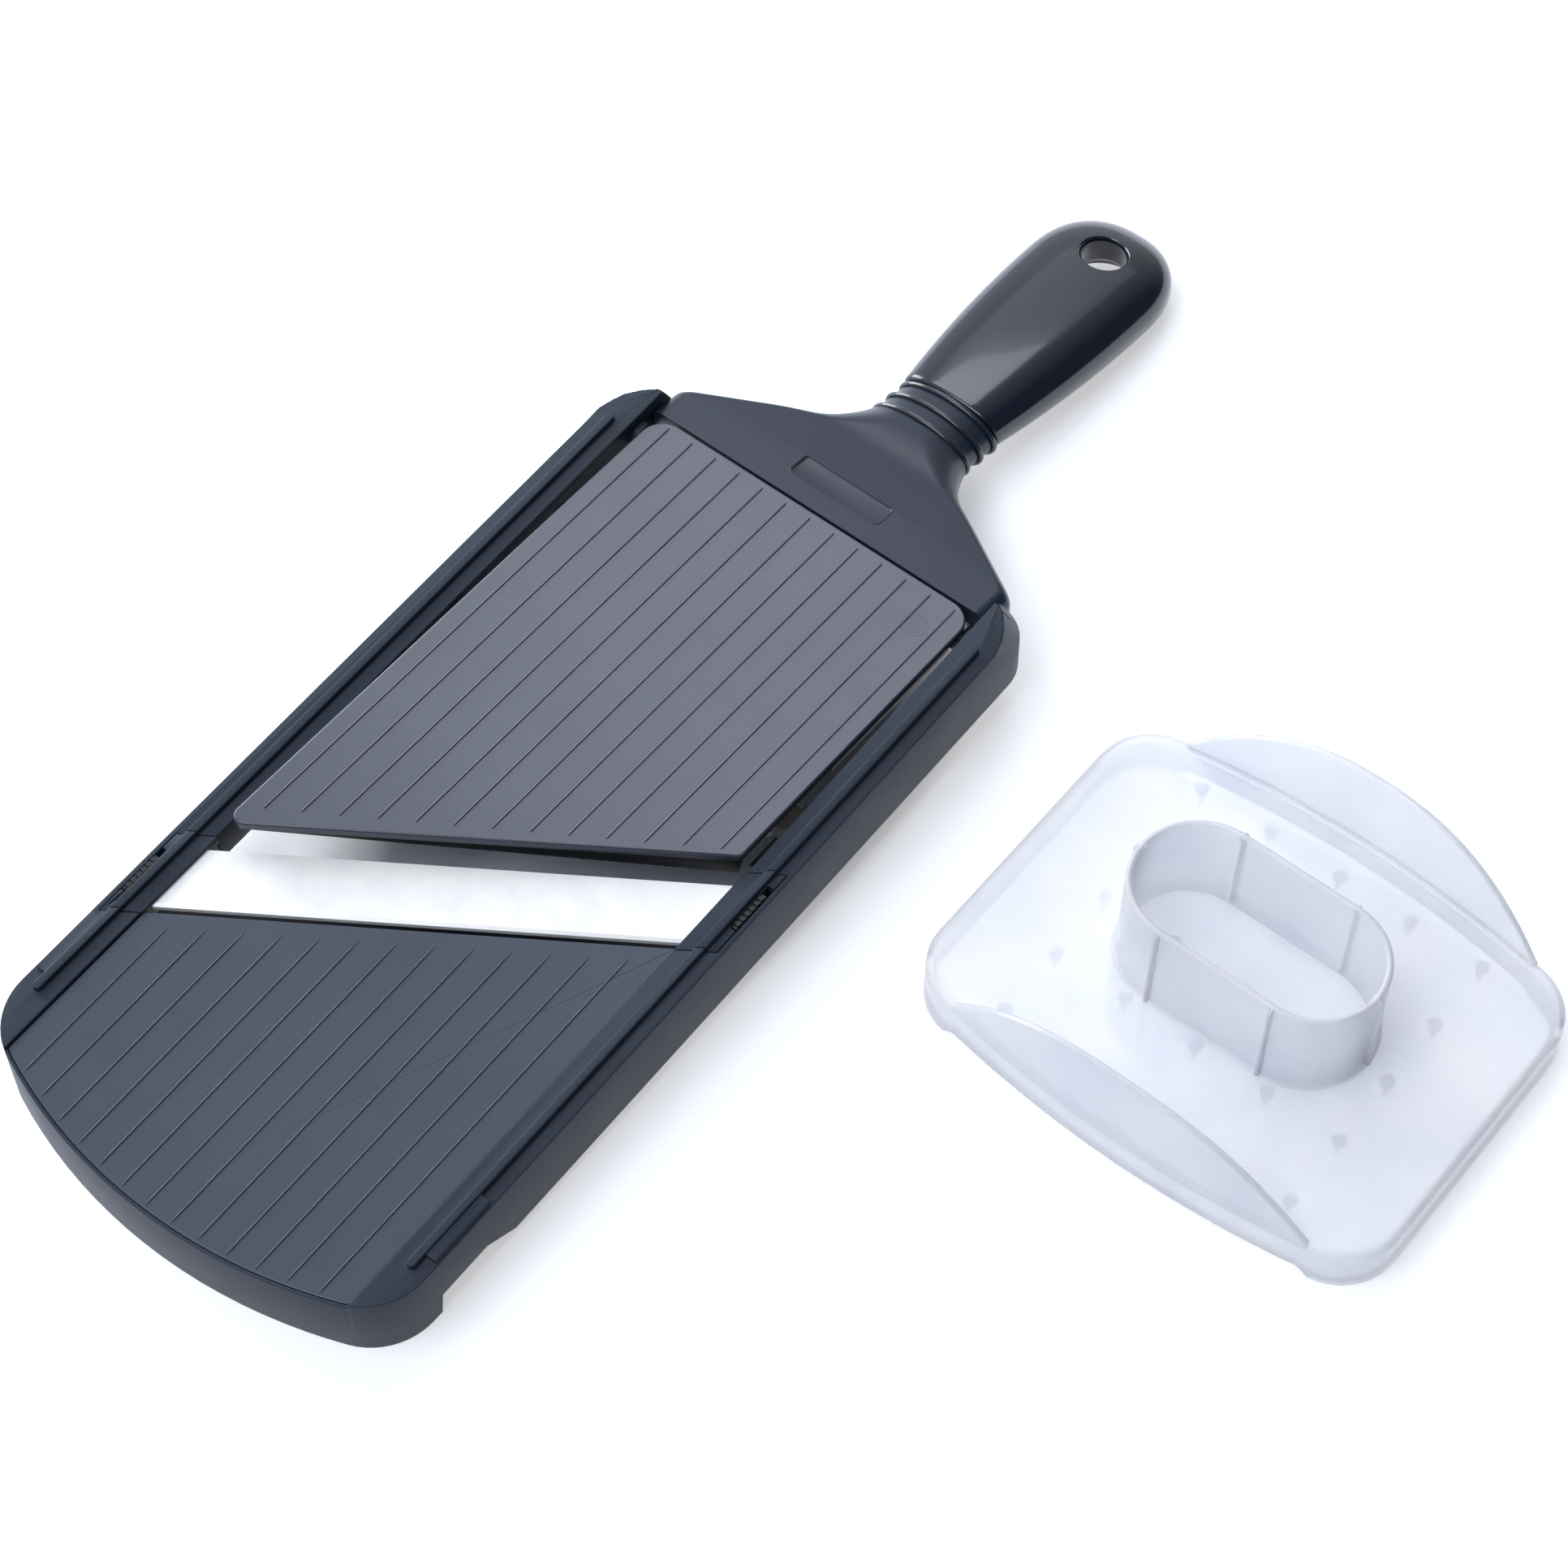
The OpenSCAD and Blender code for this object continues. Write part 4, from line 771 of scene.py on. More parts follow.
@dataclass
class Handle:
    """Glossy grip with a hanging hole, and the three rings round its neck.

    Attributes:
        neck_half: Half width of the grip's curve at the neck.
        half: Largest half width of the grip.
        wide_y: Where the grip is widest.
        end_y: Rear end of the grip.
        tail_power: Exponent of the outline behind its widest place.
        ring_y: Middle of the first neck ring.
        ring_pitch: Distance between rings.
        line_z: Height of the grip's middle line at the first ring.
        fall: Fall of that line per unit of length.
        top: Height above the line as a share of the half width.
        belly: Depth below the line as a share of the half width.
        exponent: Exponent of the rounded section.
        rim: Width of the rounding round the hanging hole.
        hole_sink: Length that the hole loses underneath, where the skin sinks towards it.
        ring_width: Width of a ring along the neck.
        ring_proud: How far a ring stands out of the neck.
        ring_sunk: How far its foot is sunk into the neck.
        neck_hw: Half width of the neck.
        neck_hh: Half height of the neck.
        neck_fall: Fall of the neck per unit of length.
    """

    neck_half: float = 13.6 * MM
    half: float = 21.15 * MM
    wide_y: float = 380.2 * MM
    end_y: float = 407.9 * MM
    tail_power: float = 2.6
    ring_y: float = 304.4 * MM
    ring_pitch: float = 6.05 * MM
    line_z: float = 2.7 * MM
    fall: float = 0.15
    top: float = 0.5
    belly: float = 0.42
    exponent: float = 2.5
    rim: float = 1.8 * MM
    hole_sink: float = 2.5 * MM
    ring_width: float = 1.5 * MM
    ring_proud: float = 1.2 * MM
    ring_sunk: float = 0.15 * MM
    neck_hw: float = 15.5 * MM
    neck_hh: float = 8.2 * MM
    neck_fall: float = 0.25

    def line(self, y: float) -> float:
        """Height of the grip's middle line at y."""
        return self.line_z - self.fall * (y - self.ring_y)

    def half_width(self, y: float) -> float:
        """Half width of the grip.

        Args:
            y: Distance from the front of the slicer.

        Returns:
            The half width there.
        """
        if y < self.wide_y:
            t = (self.wide_y - y) / (self.wide_y - self.ring_y)
            return self.half - (self.half - self.neck_half) * t * t
        t = (y - self.wide_y) / (self.end_y - self.wide_y)
        return self.half * math.sqrt(max(0.0, 1 - t**self.tail_power))

    def skin(self, y: float, share: float) -> float:
        """Height of the grip's skin at y, over its line or, with a negative share, under it."""
        return self.line(y) + self.half_width(y) * share

    def section(self, y: float) -> Ring:
        """Section of the grip.

        Args:
            y: Distance from the front of the slicer.

        Returns:
            The section's ring.
        """
        w, z = self.half_width(y), self.line(y)
        ring = []
        for a in whole_turn(96):
            share = self.top if math.sin(a) > 0 else self.belly
            x = w * power(math.cos(a), 2 / self.exponent)
            ring.append(Vector((x, y, z + w * share * power(math.sin(a), 2 / self.exponent))))
        return ring

    def grip(self) -> bpy.types.Object:
        """Builds the grip with its hanging hole.

        Returns:
            The piece in place.
        """
        start = self.ring_y + 2 * self.ring_pitch + self.ring_width / 2 + 1 * MM
        # The sections crowd towards the rear end and stop just short of its point
        count, crowding, short = 110, 1.9, 0.9999
        rings = [
            self.section(start + (self.end_y - start) * (1 - (1 - i / count) ** crowding) * short)
            for i in range(count + 1)
        ]
        # A rounded shoulder closes the front of the grip
        shrink, depth = 0.09, 0.9 * MM
        middle = Vector((0, start, self.line(start)))
        shoulder = []
        for a in (1.57, 1.2, 0.8, 0.4):
            scale, back = 1 - shrink * (1 - math.cos(a)), Vector((0, depth * math.sin(a), 0))
            shoulder.append([middle + (p - middle) * scale - back for p in rings[0]])
        obj = Form.loft(shoulder + rings).moved(DECK).mesh_object("grip")
        carve(obj, [self.hole_cutter()])
        smooth(obj, 32)
        return finish_piece(obj, Finish.HANDLE, "slicer_body", ["handle_grip"])

    def rim_curve(self, radius: float, half: float, spread: float, rise: float) -> list[Pair]:
        """Profile of one of the hole's rims and the mouth outside it.

        Args:
            radius: Radius of the bore.
            half: Distance of the rim's outer end from the hole's middle.
            spread: How much the mouth widens past the rim.
            rise: Length over which it widens.

        Returns:
            Radius and height pairs from the bore outwards.
        """
        past = 12 * MM
        turned = [
            (
                radius + self.rim * (1 - math.cos(a)),
                half - self.rim + self.rim * math.sin(a),
            )
            for a in sweep(math.pi / 2, 10)
        ]
        wide = radius + self.rim + spread
        return turned + [(wide, half + rise), (wide, half + past)]

    def hole_cutter(self) -> bpy.types.Object:
        """Spool that cuts the hanging hole and rounds its two rims.

        Returns:
            The cutter in place.
        """
        hole = mount("hang_hole")
        radius = hole["dims"]["r_mm"] * MM
        centre = LEVEL @ Vector(hole["pos_m"])
        high = self.skin(centre.y, self.top) - centre.z
        low = hole["dims"]["length_mm"] * MM / 2 - self.hole_sink
        # The mouth is flat above the grip and a funnel underneath, clear of the hollow skin
        over = self.rim_curve(radius, high, 4 * MM, 0.5 * MM)
        under = self.rim_curve(radius, low, 3.2 * MM, 5 * MM)
        profile = [(r, -z) for r, z in reversed(under)] + over
        profile = [(AXIS, profile[0][1])] + profile + [(AXIS, profile[-1][1])]
        form = lathe(profile, 72)
        # Both rims lean with the skin, and the bore between them stays upright
        reach = 6 * MM
        for point in form.points:
            share = self.top if point.z > 0 else -self.belly
            rise = self.skin(centre.y + reach, share) - self.skin(centre.y - reach, share)
            point.z += point.y * rise / (2 * reach)
        return form.moved(DECK @ Matrix.Translation(centre)).mesh_object("hole_cutter")

    def neck_centre(self, y: float) -> Vector:
        """Middle of the neck at y."""
        return Vector((0, y, self.line_z - self.neck_fall * (y - self.ring_y)))

    def ring(self, centre: Vector) -> Form:
        """One round-edged neck ring.

        Args:
            centre: Its middle.

        Returns:
            The closed ring.
        """
        loops = []
        for a in whole_turn(96):
            loop = []
            for b in whole_turn(14):
                reach = self.ring_proud / 2 * (1 + math.cos(b)) - self.ring_sunk
                along = self.ring_width / 2 * power(math.sin(b), 0.8)
                x, z = (self.neck_hw + reach) * math.cos(a), (self.neck_hh + reach) * math.sin(a)
                loop.append(centre + Vector((x, along, z)))
            loops.append(loop)
        return Form.loft(loops, closed=True)

    def rings(self) -> bpy.types.Object:
        """Builds the three neck rings as one piece.

        Returns:
            The piece in place.
        """
        centres = [self.neck_centre(self.ring_y + i * self.ring_pitch) for i in range(3)]
        form = Form().joined(*(self.ring(centre) for centre in centres))
        obj = form.moved(DECK).mesh_object("rings")
        smooth(obj, 60)
        return finish_piece(obj, Finish.RING, "slicer_body", ["neck_rings"])

    def build(self) -> None:
        """Builds every piece of the handle."""
        self.grip()
        self.rings()


# ---------------------------------------------------------------- yoke


@dataclass
class Yoke:
    """Broad plate behind the feed plate that flows into the round neck.

    Attributes:
        front_y: Front edge of the yoke.
        front_z: Height of its top there.
        fall: Fall of the top per unit of length.
        front_hw: Half width beside the rails.
        rail_in: Distance from the middle to a rail.
        rail_end_y: Rear end of the rails.
        shoulder: Reach of the rounded corner behind a rail.
        flank_deg: Angle of the flanks from the cross direction.
        flank_d: Distance of the flank lines from the origin.
        flank_r: Radius of the hollow fillets at the neck.
        edge_r: Radius of the upper edge.
        foot_r: Radius of the lower edge.
        bar_y: Rear face of the crossbar below.
        bar_z: Height of that bar's top.
        bar_base: Height of the yoke's rim at the bar.
        rear_y: Rear end of the yoke, inside the grip.
        blend: Length over which the section turns into the round neck.
        top_blend: Length over which the top falls to the neck.
        badge_y: Distance of the badge recess behind the front edge.
        badge_hl: Half length of the recess.
        badge_hw: Half width of the recess.
        badge_r: Radius of its corners.
        pocket_wall: Wall left round the pockets in the underside.
        pocket_roof: Depth of the pockets' roof under the top's front edge.
        pockets: Lowest and highest x of each pocket.
        handle: The handle that it carries.
    """

    front_y: float = 258.4 * MM
    front_z: float = 19.7 * MM
    fall: float = 0.2
    front_hw: float = 56.1 * MM
    rail_in: float = 55.5 * MM
    rail_end_y: float = 262.8 * MM
    shoulder: float = 3 * MM
    flank_deg: float = 31.5
    flank_d: float = 259.46 * MM
    flank_r: float = 24 * MM
    edge_r: float = 4.5 * MM
    foot_r: float = 1 * MM
    bar_y: float = 266.2 * MM
    bar_z: float = 8 * MM
    bar_base: float = 3 * MM
    rear_y: float = 318.05 * MM
    blend: float = 26 * MM
    top_blend: float = 12 * MM
    badge_y: float = 11 * MM
    badge_hl: float = 14.5 * MM
    badge_hw: float = 3.8 * MM
    badge_r: float = 1.2 * MM
    pocket_wall: float = 3 * MM
    pocket_roof: float = 10.5 * MM
    pockets: tuple[Pair, ...] = ((-13 * MM, 13 * MM), (15 * MM, 90 * MM), (-90 * MM, -15 * MM))
    handle: Handle = field(default_factory=Handle)

    @property
    def flank(self) -> Pair:
        """Direction that the right flank faces in plan."""
        return math.sin(math.radians(self.flank_deg)), math.cos(math.radians(self.flank_deg))

    @property
    def fillet_x(self) -> float:
        """Distance of a fillet's centre from the middle."""
        return self.handle.neck_hw + self.flank_r

    @property
    def fillet_y(self) -> float:
        """Distance of a fillet's centre from the origin."""
        nx, ny = self.flank
        return (self.flank_d + self.flank_r - nx * self.fillet_x) / ny

    def half(self, y: float) -> float:
        """Half width of the yoke.

        Args:
            y: Distance from the front of the slicer.

        Returns:
            The half width there.
        """
        nx, ny = self.flank
        if y > self.fillet_y:
            return self.handle.neck_hw
        if y > self.fillet_y - self.flank_r * ny:
            return self.fillet_x - math.sqrt(self.flank_r**2 - (self.fillet_y - y) ** 2)
        # A small shoulder rounds the corner behind the rail
        line = (self.flank_d - ny * y) / nx
        near = max(0.0, self.shoulder - abs(self.front_hw - line))
        return min(line, self.front_hw) - near**2 / (4 * self.shoulder)

    def top(self, y: float) -> float:
        """Height of the yoke's top.

        Args:
            y: Distance from the front of the slicer.

        Returns:
            The height there.
        """
        neck = self.handle.neck_centre(y).z + self.handle.neck_hh
        start = self.fillet_y - self.flank_r * self.flank[1]
        plain = self.front_z - self.fall * (y - self.front_y)
        return mix(plain, neck, ease_step((y - start) / self.top_blend))

    def base(self, y: float) -> float:
        """Height of the underside's rim.

        Args:
            y: Distance from the front of the slicer.

        Returns:
            The height there.
        """
        if y > self.fillet_y:
            return self.handle.neck_centre(y).z - self.handle.neck_hh
        if y < self.bar_y:
            return self.bar_base
        low = self.handle.neck_centre(self.fillet_y).z - self.handle.neck_hh
        return mix(self.bar_base, low, (y - self.bar_y) / (self.fillet_y - self.bar_y))

    def section(self, y: float) -> Ring:
        """Section of the yoke, from a plate to a round neck.

        Args:
            y: Distance from the front of the slicer.

        Returns:
            The section's ring.
        """
        # The round section's arcs end just short of each other
        short = 0.9995
        a, top, base = self.half(y), self.top(y), self.base(y)
        share = ease_step((y - self.fillet_y + self.blend) / self.blend)
        h = (top - base) / 2
        ring: Ring = []
        corners = (
            (1, 1, top, self.edge_r),
            (-1, 1, top, self.edge_r),
            (-1, -1, base, self.foot_r),
            (1, -1, base, self.foot_r),
        )
        for sx, sz, z, radius in corners:
            ra, rz = mix(radius, a * short, share), mix(radius, h * short, share)
            for t in sweep(math.pi / 2, 13):
                u = t if sx * sz > 0 else math.pi / 2 - t
                x = sx * (a - ra + ra * math.cos(u))
                ring.append(Vector((x, y, z + sz * rz * (math.sin(u) - 1))))
        return ring

    def pocket(self, x0: float, x1: float) -> Form:
        """Pocket inside the yoke's walls, between two planes of x.

        Args:
            x0: Lowest x.
            x1: Highest x.

        Returns:
            The closed cutter.
        """
        # A flank stands at an angle, so its wall is wider across than through it
        across = self.pocket_wall * 1.17
        rear = self.fillet_y - self.blend / 2
        ys = [mix(self.bar_y + self.pocket_wall, rear, i / 16) for i in range(17)]
        right = [(min(x1, self.half(y) - across), y) for y in ys]
        left = [(max(x0, across - self.half(y)), y) for y in ys]
        levels = [(0.0, -FAR), (0.0, self.front_z - self.pocket_roof)]
        return prism(right + left[::-1], levels)

    def badge_ring(self, reach: float, height: float) -> Ring:
        """Ring round the badge recess.

        Args:
            reach: How far it is moved out.
            height: Its height above the yoke's top.

        Returns:
            The ring in the recess's own axes.
        """
        ring = []
        for cx, cy, start in ((1, 1, 0), (-1, 1, 90), (-1, -1, 180), (1, -1, 270)):
            corner = (cx * (self.badge_hl - self.badge_r), cy * (self.badge_hw - self.badge_r))
            turned = arc(corner, self.badge_r + reach, math.radians(start), math.pi / 2, 5)
            ring += [Vector((x, y, height)) for x, y in turned]
        return ring

    def badge_place(self) -> Matrix:
        """Place of the badge recess on the yoke's top.

        Returns:
            The matrix from the recess's own axes to the level deck.
        """
        height = self.front_z - self.fall * self.badge_y
        place = Matrix.Translation((0, self.front_y + self.badge_y, height))
        return place @ Matrix.Rotation(-math.atan(self.fall), 4, "X")

    def badge_form(self) -> Form:
        """Shallow recess with rounded corners on the yoke's top.

        Returns:
            The cutter on the level deck.
        """
        levels = [(-0.4, -0.4), (-0.2, -0.36), (-0.03, -0.2), (0.02, 0.05), (0.1, 1.0)]
        recess = Form.loft([self.badge_ring(d * MM, z * MM) for d, z in levels])
        return recess.moved(self.badge_place())

    def badge_rim(self) -> None:
        """Builds the thin raised line that frames the recess."""
        offset, half_w, height, sunk = 0.35, 0.2, 0.14, -0.3
        section = [(-half_w * math.cos(a), height * math.sin(a)) for a in sweep(math.pi, 6)]
        section += [(half_w, sunk), (-half_w, sunk)]
        rings = [self.badge_ring((offset + d) * MM, z * MM) for d, z in section]
        form = Form.loft([list(loop) for loop in zip(*rings)], closed=True)
        obj = form.moved(DECK @ self.badge_place()).mesh_object("badge_rim")
        smooth(obj, 50)
        finish_piece(obj, Finish.YOKE, "slicer_body")

    def build(self) -> None:
        """Builds the yoke with the pockets in its underside, and the badge's rim."""
        ys = [mix(self.front_y, self.rear_y, i / 90) for i in range(91)]
        obj = Form.loft([self.section(y) for y in ys]).moved(DECK).mesh_object("yoke")
        # The crossbar and the rails keep their room
        room = 0.2 * MM
        inner, rail_y = self.rail_in - room, (-FAR, self.rail_end_y + room)
        cutters = [
            block((-FAR, FAR), (-FAR, self.bar_y), (-FAR, self.bar_z)),
            self.badge_form(),
            block((-FAR, -inner), rail_y, (-FAR, FAR)),
            block((inner, FAR), rail_y, (-FAR, FAR)),
        ]
        cutters += [self.pocket(x0, x1) for x0, x1 in self.pockets]
        carve(obj, [cutter.moved(DECK).mesh_object("yoke_cutter") for cutter in cutters])
        smooth(obj, 32)
        finish_piece(obj, Finish.YOKE, "slicer_body", ["handle_yoke"])
        self.badge_rim()


# ---------------------------------------------------------------- plates


@dataclass
class Ribs:
    """Fine anti-stick ribs that both plates carry.

    Attributes:
        count: Number of ribs.
        pitch: Distance between them.
        width: Width of a rib.
        height: Height of a rib.
        sink: How far its foot is sunk into the plate.
    """

    count: int = 13
    pitch: float = 7.95 * MM
    width: float = 0.55 * MM
    height: float = 0.3 * MM
    sink: float = 0.15 * MM

    def places(self) -> list[float]:
        """Distances of the ribs from the middle of the plate."""
        return [(i - (self.count - 1) / 2) * self.pitch for i in range(self.count)]

    def bar(self, x: float, y0: float, y1: float, z: float, front: float, rear: float) -> Form:
        """Half-round bar that dies out at both ends.

        Args:
            x: Distance from the middle of the plate.
            y0: Front end.
            y1: Rear end.
            z: Height of the plate's top.
            front: Length over which the front end rises.
            rear: Length over which the rear end falls.

        Returns:
            The closed bar, sunk a little into the plate.
        """
        steps = (0.02, 0.15, 0.4, 0.7, 1)
        stations = [(y0 + front * t, t) for t in steps]
        stations += [(y1 - rear * t, t) for t in reversed(steps)]
        rings = []
        for y, t in stations:
            share = math.sqrt(1 - (1 - t) ** 2)
            half, high = self.width / 2 * share, self.height * share
            section = [(half * math.cos(a), high * math.sin(a)) for a in sweep(math.pi, 8)]
            section += [(-half, -self.sink), (half, -self.sink)]
            rings.append([Vector((x + across, y, z + up)) for across, up in section])
        return Form.loft(rings)


@dataclass
class LandingPlate:
    """Front plate between the rails, with its ribs.

    Attributes:
        front_r: Radius of its bowed front edge.
        front_cy: Distance of that bow's centre from the origin.
        corner: Centre and radius of a front corner.
        half_w: Half width.
        rear_y: Where its rear edge crosses the middle.
        skew: Rearward shift of the rear edge per unit of width.
        top: Height of its upper side.
        thick: Thickness.
        edge: Radius of its upper edge.
        rib_ends: Room between the plate's front and rear edges and a rib.
        rib_fade: Lengths over which a rib rises in front and falls behind.
        ribs: The ribs that it carries.
    """

    front_r: float = 141.95 * MM
    front_cy: float = 141.9 * MM
    corner: Point = (46.5 * MM, 26.95 * MM, 17.95 * MM)
    half_w: float = 55.35 * MM
    rear_y: float = 96.3 * MM
    skew: float = 0.66
    top: float = 21.2 * MM
    thick: float = 2.2 * MM
    edge: float = 0.35 * MM
    rib_ends: Pair = (0.8 * MM, 4.6 * MM)
    rib_fade: Pair = (3 * MM, 7 * MM)
    ribs: Ribs = field(default_factory=Ribs)

    def front(self, x: float) -> float:
        """Front edge of the plate.

        Args:
            x: Distance from the middle.

        Returns:
            Where the edge is there.
        """
        cx, cy, cr = self.corner
        join = cx + cr * cx / math.hypot(cx, self.front_cy - cy)
        if abs(x) > join:
            return cy - math.sqrt(max(0.0, cr**2 - (abs(x) - cx) ** 2))
        return self.front_cy - math.sqrt(self.front_r**2 - x * x)

    def rear(self, x: float) -> float:
        """Rear edge at x."""
        return self.rear_y + self.skew * x

    def outline(self) -> list[Pair]:
        """Plan of the plate.

        Returns:
            Its corners, anticlockwise.
        """
        steps, ease, nick, hw = 90, 0.3 * MM, 0.1 * MM, self.half_w
        xs = [hw * (2 * i / steps - 1) for i in range(steps + 1)]
        plan = [(x, self.front(x)) for x in xs]
        # The rear corners are barely eased
        plan += [(hw, self.rear(hw) - ease), (hw - ease, self.rear(hw - ease))]
        return plan + [(ease - hw, self.rear(ease - hw)), (-hw, self.rear(-hw) - nick)]

    def build(self) -> None:
        """Builds the plate."""
        plate = rounded_prism(self.outline(), self.top - self.thick, self.top, self.edge)
        before, behind = self.rib_ends
        bars = []
        for x in self.ribs.places():
            y0, y1 = self.front(x) + before, self.rear(x) - behind
            bars.append(self.ribs.bar(x, y0, y1, self.top, *self.rib_fade))
        obj = plate.joined(*bars).moved(DECK).mesh_object("landing")
        smooth(obj, 40, flat_caps=True)
        finish_piece(obj, Finish.LANDING, "slicer_body", ["landing_plate"])


@dataclass
class FeedPlate:
    """Adjustable plate in front of the yoke, with its ribs and hinge ears.

    Attributes:
        half_w: Half width.
        reach: Distance from the hinge to its front edge in the middle.
        tail: Distance from the hinge to its rear edge.
        corner_r: Radius of its rear corners.
        front_r: Radius of its acute front corner.
        top: Height of its upper side above the hinge.
        thick: Thickness.
        skew: Rearward shift of the front edge per unit of width.
        closed_deg: Its rise from the hinge when closed.
        ear_in: Distance from the middle to a hinge ear.
        ear_w: Width of an ear.
        ear_r: Radius of an ear round its pin.
        pin_r: Radius of the pin's bore.
        edge: Radius of its upper edge.
        rib_end: Room between the plate's edges and a rib.
        rib_fade: Length over which a rib rises and falls.
        bar_x: Inner and outer side of the edge bars underneath.
        bar_y: Front and rear ends of those bars, from the hinge.
        bar_drop: How far they hang under the plate.
        gate: Place of the mark that the mould's gate leaves.
        ribs: The ribs that it carries.
    """

    half_w: float = 53 * MM
    reach: float = 127.1 * MM
    tail: float = 5.2 * MM
    corner_r: float = 7 * MM
    front_r: float = 3 * MM
    top: float = 5.2 * MM
    thick: float = 2.4 * MM
    skew: float = 0.66
    closed_deg: float = 3.84
    ear_in: float = 48.6 * MM
    ear_w: float = 4 * MM
    ear_r: float = 3.5 * MM
    pin_r: float = 1.56 * MM
    edge: float = 0.5 * MM
    rib_end: float = 2 * MM
    rib_fade: float = 1 * MM
    bar_x: Pair = (50.6 * MM, 52.4 * MM)
    bar_y: Pair = (-54.5 * MM, -5.5 * MM)
    bar_drop: float = 2.6 * MM
    gate: Pair = (42.5 * MM, -7.5 * MM)
    ribs: Ribs = field(default_factory=Ribs)

    def place(self) -> Matrix:
        """Matrix from the plate's own axes to the leaning slicer."""
        hinge = Matrix.Translation(LEVEL @ joint_place("plate_tilt"))
        return DECK @ hinge @ Matrix.Rotation(-math.radians(self.closed_deg), 4, "X")

    def front(self, x: float) -> float:
        """Front edge at x."""
        return -self.reach + self.skew * x

    def outline(self) -> list[Pair]:
        """Plan of the plate.

        Returns:
            Its corners, anticlockwise.
        """
        hw, r, quarter = self.half_w, self.corner_r, math.pi / 2
        turn = quarter + math.atan(self.skew)
        # The acute front corner is round and the blunt one is barely eased
        back = self.front_r / math.tan(turn / 2)
        acute = (-hw + self.front_r, self.front(-hw) + back)
        plan = arc(acute, self.front_r, math.pi, turn, 8)
        plan += [(hw - 0.5 * MM, self.front(hw - 0.5 * MM)), (hw, self.front(hw) + 0.7 * MM)]
        plan += arc((hw - r, self.tail - r), r, 0.0, quarter, 12)
        return plan + arc((-hw + r, self.tail - r), r, quarter, quarter, 12)

    def ear(self, side: int) -> Form:
        """Hinge ear with its bore.

        Args:
            side: -1 for the left and 1 for the right.

        Returns:
            The closed ear.
        """
        ease, turns = 0.3 * MM, whole_turn(32)
        roof = self.top - self.thick + 0.2 * MM
        loops = []
        for x, grow in ((0.0, -ease), (ease, 0.0), (self.ear_w - ease, 0.0), (self.ear_w, -ease)):
            radius = self.ear_r + grow
            loop = []
            for a in turns:
                y, z = radius * math.cos(a), radius * math.sin(a)
                # Above its axis the ear is a block up to the plate
                if z > 0:
                    y, z = math.copysign(min(abs(y) * 1.5, radius), y), min(z * 1.2, roof)
                loop.append(Vector((side * (self.ear_in + x), y, z)))
            loops.append(loop)
        bore = [(self.pin_r * math.cos(a), self.pin_r * math.sin(a)) for a in turns]
        for x in (side * (self.ear_in + self.ear_w), side * self.ear_in):
            loops.append([Vector((x, y, z)) for y, z in bore])
        return Form.loft(loops, closed=True)

    def stiffener(self, side: int) -> Form:
        """Edge bar under the plate.

        Args:
            side: -1 for the left and 1 for the right.

        Returns:
            The closed bar.
        """
        low, high = sorted(side * x for x in self.bar_x)
        under = self.top - self.thick
        return block((low, high), self.bar_y, (under - self.bar_drop, under + 0.2 * MM))

    def gate_mark(self) -> Form:
        """Low rings that the mould's gate leaves near one rear corner.

        Returns:
            The three closed rings.
        """
        centre = Vector((*self.gate, self.top))
        half_w, height = 0.14, 0.03
        marks = []
        for radius in (1.3, 2.4, 3.5):
            loops = []
            for a in whole_turn(40):
                out = Vector((math.cos(a), math.sin(a), 0))
                loops.append([
                    centre
                    + out * (radius + half_w * math.cos(b)) * MM
                    + Vector((0, 0, height * math.sin(b) * MM))
                    for b in (0, 1.57, 3.14, 4.71)
                ])
            marks.append(Form.loft(loops, closed=True))
        return Form().joined(*marks)

    def build(self) -> None:
        """Builds the plate."""
        plate = rounded_prism(self.outline(), self.top - self.thick, self.top, self.edge)
        rear, fade = self.tail - self.rib_end, self.rib_fade
        parts = [
            self.ribs.bar(x, self.front(x) + self.rib_end, rear, self.top, fade, fade)
            for x in self.ribs.places()
        ]
        for side in (-1, 1):
            parts += [self.ear(side), self.stiffener(side)]
        form = plate.joined(*parts, self.gate_mark())
        obj = form.moved(self.place()).mesh_object("feed")
        smooth(obj, 40, flat_caps=True)
        finish_piece(obj, Finish.FEED, "feed_plate_body", ["feed_plate"])


@dataclass
class MouldedPieces:
    """Pieces of the frame that keep their CAD shape and gain the mould's soft edges.

    Attributes:
        pieces: For each CAD node, the width of its rounding in mm, its finish, body and slot.
    """

    pieces: tuple[tuple[str, float, Finish, str, str], ...] = (
        ("body_frame", 0.3, Finish.DECK, "slicer_body", "deck"),
        ("blade_carrier", 0.25, Finish.DECK, "slicer_body", "deck"),
        ("bearing_caps", 0.4, Finish.DECK, "slicer_body", "deck"),
        ("blade_clamps", 0.3, Finish.DARK, "slicer_body", "trim"),
        # Painted shade: the strip under the feed plate's front edge takes the black finish because its face,
        # turned away from the light, shows black
        ("plate_edge_strip", 0.3, Finish.DARK, "feed_plate_body", "trim"),
    )

    def build(self) -> None:
        """Builds the softened pieces."""
        for node, width, finish, body, slot in self.pieces:
            finish_piece(softened_copy(node, width * MM), finish, body, [node])


# ---------------------------------------------------------------- hand guard


